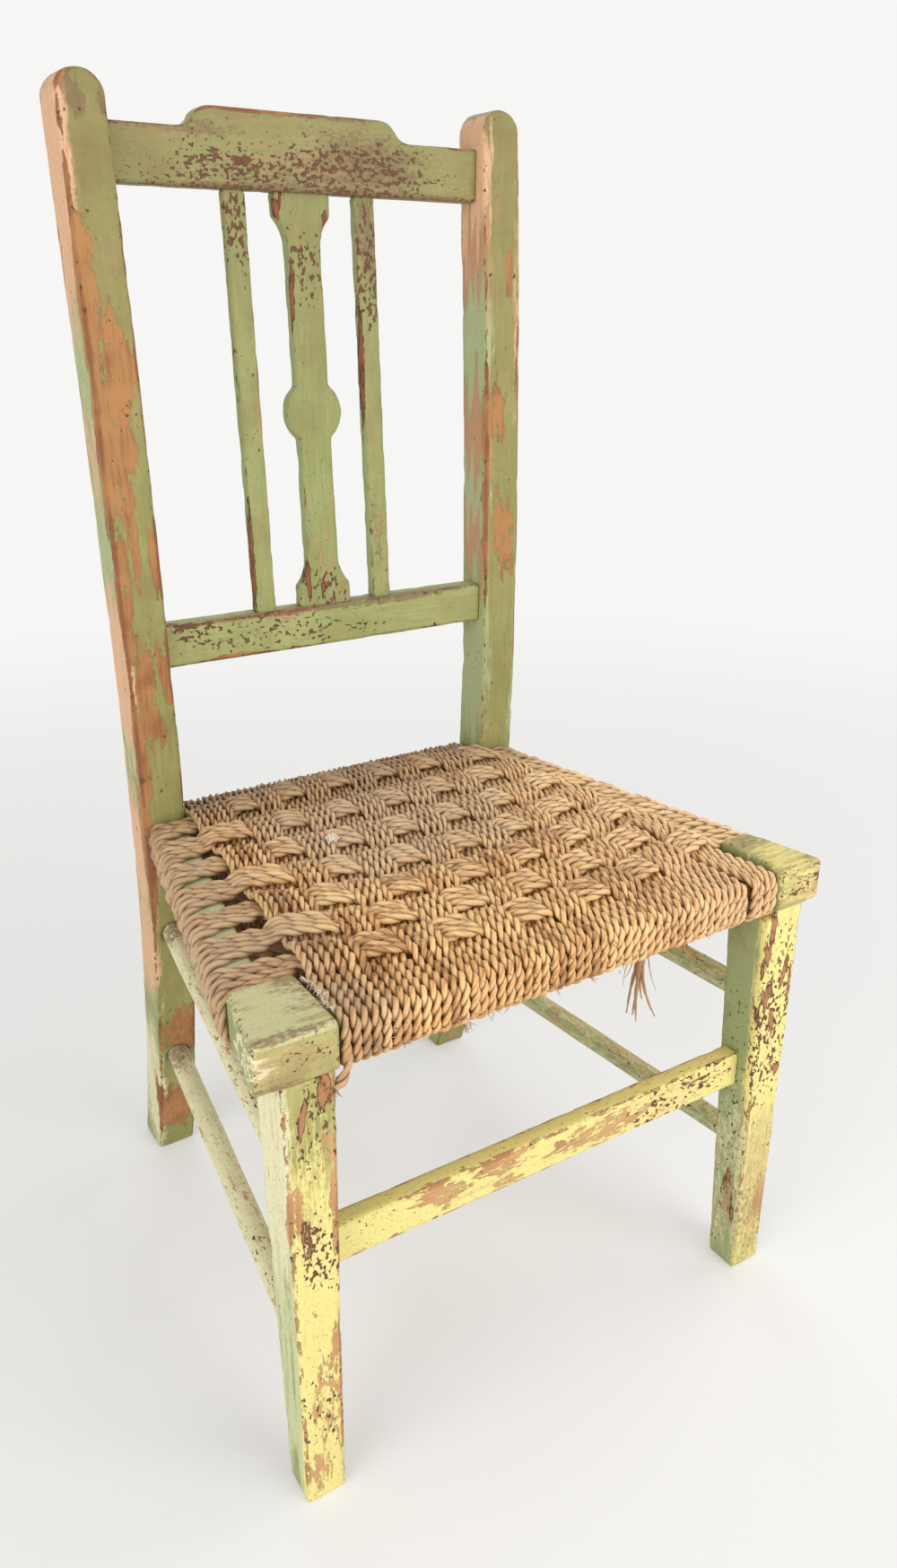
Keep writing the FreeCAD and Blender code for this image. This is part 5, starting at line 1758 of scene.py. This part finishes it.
@dataclass(frozen=True)
class Tuft:
    """Bundle of loose fibres: where it starts, where it points and how it is made."""

    start: Triple
    reach: Triple
    aim: Triple
    length: float
    count: int
    splay: float
    thickness: float = 0.26


@dataclass(frozen=True)
class LooseFibre:
    """Finish of fibres that have come out of the cord."""

    colour: Colour
    tip: Colour
    roughness: float = 0.8

    def material(self, name: str) -> bpy.types.Material:
        """Changes the tone from fibre to fibre.

        Args:
            name: Name of the material.

        Returns:
            The finished material.
        """
        shade = Shading(name)
        shade.show("Base Color", shade.mix(shade.attribute("strand"), self.colour, self.tip))
        shade.show("Roughness", self.roughness)
        return shade.material


@dataclass
class FrayedCord:
    """Frayed ends below the front of the seat, pale fluff on top and fine hairs on the cord."""

    straw: LooseFibre = LooseFibre((0.215, 0.098, 0.042), (0.500, 0.300, 0.145))
    white: LooseFibre = LooseFibre((0.760, 0.655, 0.520), (0.960, 0.905, 0.785))
    spacing: float = 0.8
    lay: float = 40.0
    profile_points: int = 4
    steps: int = 6
    shortest: float = 0.55
    curl: float = 0.35
    taper: float = 0.75
    seed: int = 11
    ends: tuple[Tuft, ...] = (
        Tuft((52.0, -148.0, 243.0), (6.0, 3.0, 1.0), (-0.36, -0.12, -1.0), 40.0, 5, 0.14, 1.5),
        Tuft((49.0, -149.0, 243.0), (7.0, 4.0, 1.0), (-0.30, -0.10, -1.0), 28.0, 4, 0.22, 0.5),
        Tuft((-128.0, -158.2, 235.0), (1.8, 1.2, 1.4), (-0.8, -0.05, -0.7), 8.0, 40, 0.45, 0.40),
        Tuft((70.0, -157.0, 241.0), (2.0, 1.0, 1.0), (-0.3, -0.3, -1.0), 7.0, 12, 0.5),
        Tuft((-60.0, -157.0, 241.0), (2.0, 1.0, 1.0), (0.2, -0.3, -1.0), 6.0, 9, 0.5),
        Tuft((5.0, -159.0, 252.0), (118.0, 1.0, 10.0), (0.0, -0.8, -0.4), 5.0, 130, 0.9),
        Tuft((5.0, -40.0, 268.5), (110.0, 100.0, 1.0), (0.0, -0.3, 0.7), 5.0, 240, 0.9),
    )
    fluff: tuple[Tuft, ...] = (
        Tuft((-122.6, -136.0, 266.8), (1.6, 15.0, 0.5), (0.1, -0.1, 0.35), 3.2, 90, 1.1, 0.15),
        Tuft((-51.0, -8.0, 272.0), (2.2, 2.2, 0.6), (0.0, 0.0, 0.3), 2.8, 130, 1.2, 0.62),
        Tuft((-64.0, -121.0, 268.5), (2.5, 5.0, 0.5), (0.0, 0.0, 0.4), 3.4, 40, 1.1, 0.15),
    )

    def route(self, tuft: Tuft, dice: random.Random) -> Route:
        """Leads one fibre out of its tuft, bending as it goes.

        Args:
            tuft: Bundle that the fibre belongs to.
            dice: Source of chance.

        Returns:
            The fibre's route.
        """
        place = Vector([a + b * dice.uniform(-1.0, 1.0) for a, b in zip(tuft.start, tuft.reach)])
        aim = Vector(tuft.aim) + Vector([dice.gauss(0.0, tuft.splay) for _ in range(3)])
        bend = Vector([dice.gauss(0.0, self.curl * tuft.splay) for _ in range(3)])
        step = tuft.length * dice.uniform(self.shortest, 1.0) / self.steps
        points, radii = [], []
        for index in range(self.steps + 1):
            points.append(metres(*place))
            radii.append(tuft.thickness * (1.0 - self.taper * index / self.steps) * MM)
            place = place + aim.normalized() * step
            aim = aim.normalized() + bend
        return Route(points, radii)

    def build(self) -> None:
        """Makes the straw-coloured ends and the white fluff as one piece each."""
        tree = CordTree("loose_fibres")
        for name, finish, tufts in (("seat_frayed_ends", self.straw, self.ends),
                                    ("seat_fluff", self.white, self.fluff)):
            dice = random.Random(self.seed)
            routes = [self.route(tuft, dice) for tuft in tufts for _ in range(tuft.count)]
            settings = {"Ring Spacing": self.spacing * MM, "Lay": self.lay * MM, "Groove": 0.0,
                        "Profile Points": self.profile_points, "Seed": self.seed,
                        "Cord": finish.material(name)}
            piece = tree.lay(name, routes, settings)
            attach(piece, BODY)
            LOG.info("%s: %d faces", piece.name, len(piece.data.polygons))


@dataclass(frozen=True)
class Lamp:
    """Square soft lamp: its place and side in metres, and its power in watts."""

    name: str
    place: Triple
    size: float
    power: float

    def build(self, aim: Triple) -> None:
        """Makes the lamp.

        Args:
            aim: Point that it looks at.
        """
        light = bpy.data.lights.new(self.name, "AREA")
        light.size = self.size
        light.energy = self.power
        lamp = placed(self.name, light)
        lamp.location = self.place
        lamp.rotation_euler = (Vector(aim) - Vector(self.place)).to_track_quat("-Z", "Y").to_euler()


@dataclass(frozen=True)
class Studio:
    """Pale floor and soft light round the chair."""

    floor_size: float = 14.0
    floor: Colour = (0.86, 0.855, 0.845)
    floor_roughness: float = 0.8
    floor_shine: float = 0.1
    backdrop: Colour = (0.93, 0.925, 0.915)
    fade: Range = (0.25, 1.7)
    haze: float = 0.30
    sky: float = 0.42
    aim: Triple = (0.0, 0.0, 0.3)
    lamps: tuple[Lamp, ...] = (
        Lamp("key_lamp", (0.55, -1.35, 0.75), 1.1, 14.0),
        Lamp("top_lamp", (0.95, -0.10, 1.45), 0.9, 6.0),
        Lamp("fill_lamp", (-1.35, -0.55, 0.70), 1.1, 13.5),
        Lamp("back_lamp", (0.5, 1.8, 1.7), 1.4, 10.0),
    )

    def build(self) -> None:
        """Makes the floor, the sky and the lamps."""
        self.make_floor()
        self.make_sky()
        for lamp in self.lamps:
            lamp.build(self.aim)

    @staticmethod
    def seen(work: NodeWork) -> Socket:
        """Tells the rays that show a surface from those that light the chair.

        Args:
            work: Nodes of the floor or the sky.

        Returns:
            Value of 1 for rays that show the surface.
        """
        rays = work.add("ShaderNodeLightPath").outputs
        direct = work.math("MAXIMUM", rays["Is Camera Ray"], rays["Is Glossy Ray"])
        return work.math("MAXIMUM", direct, rays["Is Transmission Ray"])

    def make_floor(self) -> None:
        """Floor that keeps the chair's shadow and fades into the backdrop further out."""
        half = self.floor_size / 2
        mesh = bpy.data.meshes.new("studio_floor")
        corners = [(-half, -half, 0), (half, -half, 0), (half, half, 0), (-half, half, 0)]
        mesh.from_pydata(corners, [], [(0, 1, 2, 3)])
        floor = placed("studio_floor", mesh)
        shade = Shading("studio_floor")
        shade.show("Base Color", (*self.floor, 1.0))
        shade.show("Roughness", self.floor_roughness)
        shade.show("Specular IOR Level", self.floor_shine)
        distance = shade.length(shade.add("ShaderNodeTexCoord").outputs["Object"])
        pale = shade.math("MULTIPLY_ADD", shade.step(distance, *self.fade), 1.0 - self.haze, self.haze)
        glow = shade.add("ShaderNodeEmission")
        shade.feed(glow.inputs["Color"], (*self.backdrop, 1.0))
        join = shade.add("ShaderNodeMixShader")
        shade.feed(join.inputs["Fac"], shade.math("MULTIPLY", pale, self.seen(shade)))
        shade.feed(join.inputs[1], shade.shader.outputs["BSDF"])
        shade.feed(join.inputs[2], glow.outputs[0])
        shade.feed(shade.surface, join.outputs[0])
        mesh.materials.append(shade.material)

    def make_sky(self) -> None:
        """Even light from all round, seen by the camera as the pale backdrop."""
        world = bpy.data.worlds.new("studio_sky")
        bpy.context.scene.world = world
        world.use_nodes = True
        work = NodeWork(world.node_tree)
        join = work.add("ShaderNodeMixShader")
        work.feed(join.inputs["Fac"], self.seen(work))
        for socket, strength in zip(join.inputs[1:], (self.sky, 1.0)):
            light = work.add("ShaderNodeBackground")
            work.feed(light.inputs["Color"], (*self.backdrop, 1.0))
            work.feed(light.inputs["Strength"], strength)
            work.feed(socket, light.outputs[0])
        work.feed(work.add("ShaderNodeOutputWorld").inputs["Surface"], join.outputs[0])


@dataclass(frozen=True)
class PhotoCamera:
    """Camera of the photograph, solved from the chair's own corners; lengths in millimetres and pixels."""

    width: int = 1000
    height: int = 1748
    place: Triple = (-305.18, -531.58, 539.40)
    yaw: float = -32.74
    pitch: float = 22.25
    roll: float = 0.26
    focal: float = 1311.74
    centre: Pair = (513.65, 875.80)
    sensor: float = 36.0
    nearest: float = 0.02

    def build(self) -> None:
        """Makes the camera and gives it to the scene."""
        data = bpy.data.cameras.new("photo_camera")
        data.sensor_width = self.sensor
        data.lens = self.sensor * self.focal / self.height
        data.shift_x = (self.width / 2 - self.centre[0]) / self.height
        data.shift_y = (self.centre[1] - self.height / 2) / self.height
        data.clip_start = self.nearest
        camera = placed("photo_camera", data)
        yaw, pitch, roll = (math.radians(a) for a in (self.yaw, self.pitch, self.roll))
        back = Vector((math.sin(yaw) * math.cos(pitch), -math.cos(yaw) * math.cos(pitch), math.sin(pitch)))
        right = Vector((math.cos(yaw), math.sin(yaw), 0.0))
        up = back.cross(right)
        turned_right = right * math.cos(roll) + up * math.sin(roll)
        turned_up = up * math.cos(roll) - right * math.sin(roll)
        turn = Matrix((turned_right, turned_up, back)).transposed().to_4x4()
        camera.matrix_world = Matrix.Translation(metres(*self.place)) @ turn
        bpy.context.scene.camera = camera


def main() -> None:
    """Builds the chair, the studio and the camera."""
    logging.basicConfig(level=logging.INFO, format="%(name)s: %(message)s")
    bpy.context.scene.view_settings.view_transform = "Standard"
    PhotoCamera().build()
    Studio().build()
    works = TimberWorks([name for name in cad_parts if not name.startswith(("seat_warp", "seat_weft"))])
    ChairBack(works).build()
    SeatFrame(works).build()
    Underframe(works).build()
    CordSeat().build()
    FrayedCord().build()


if __name__ == "__main__":
    main()
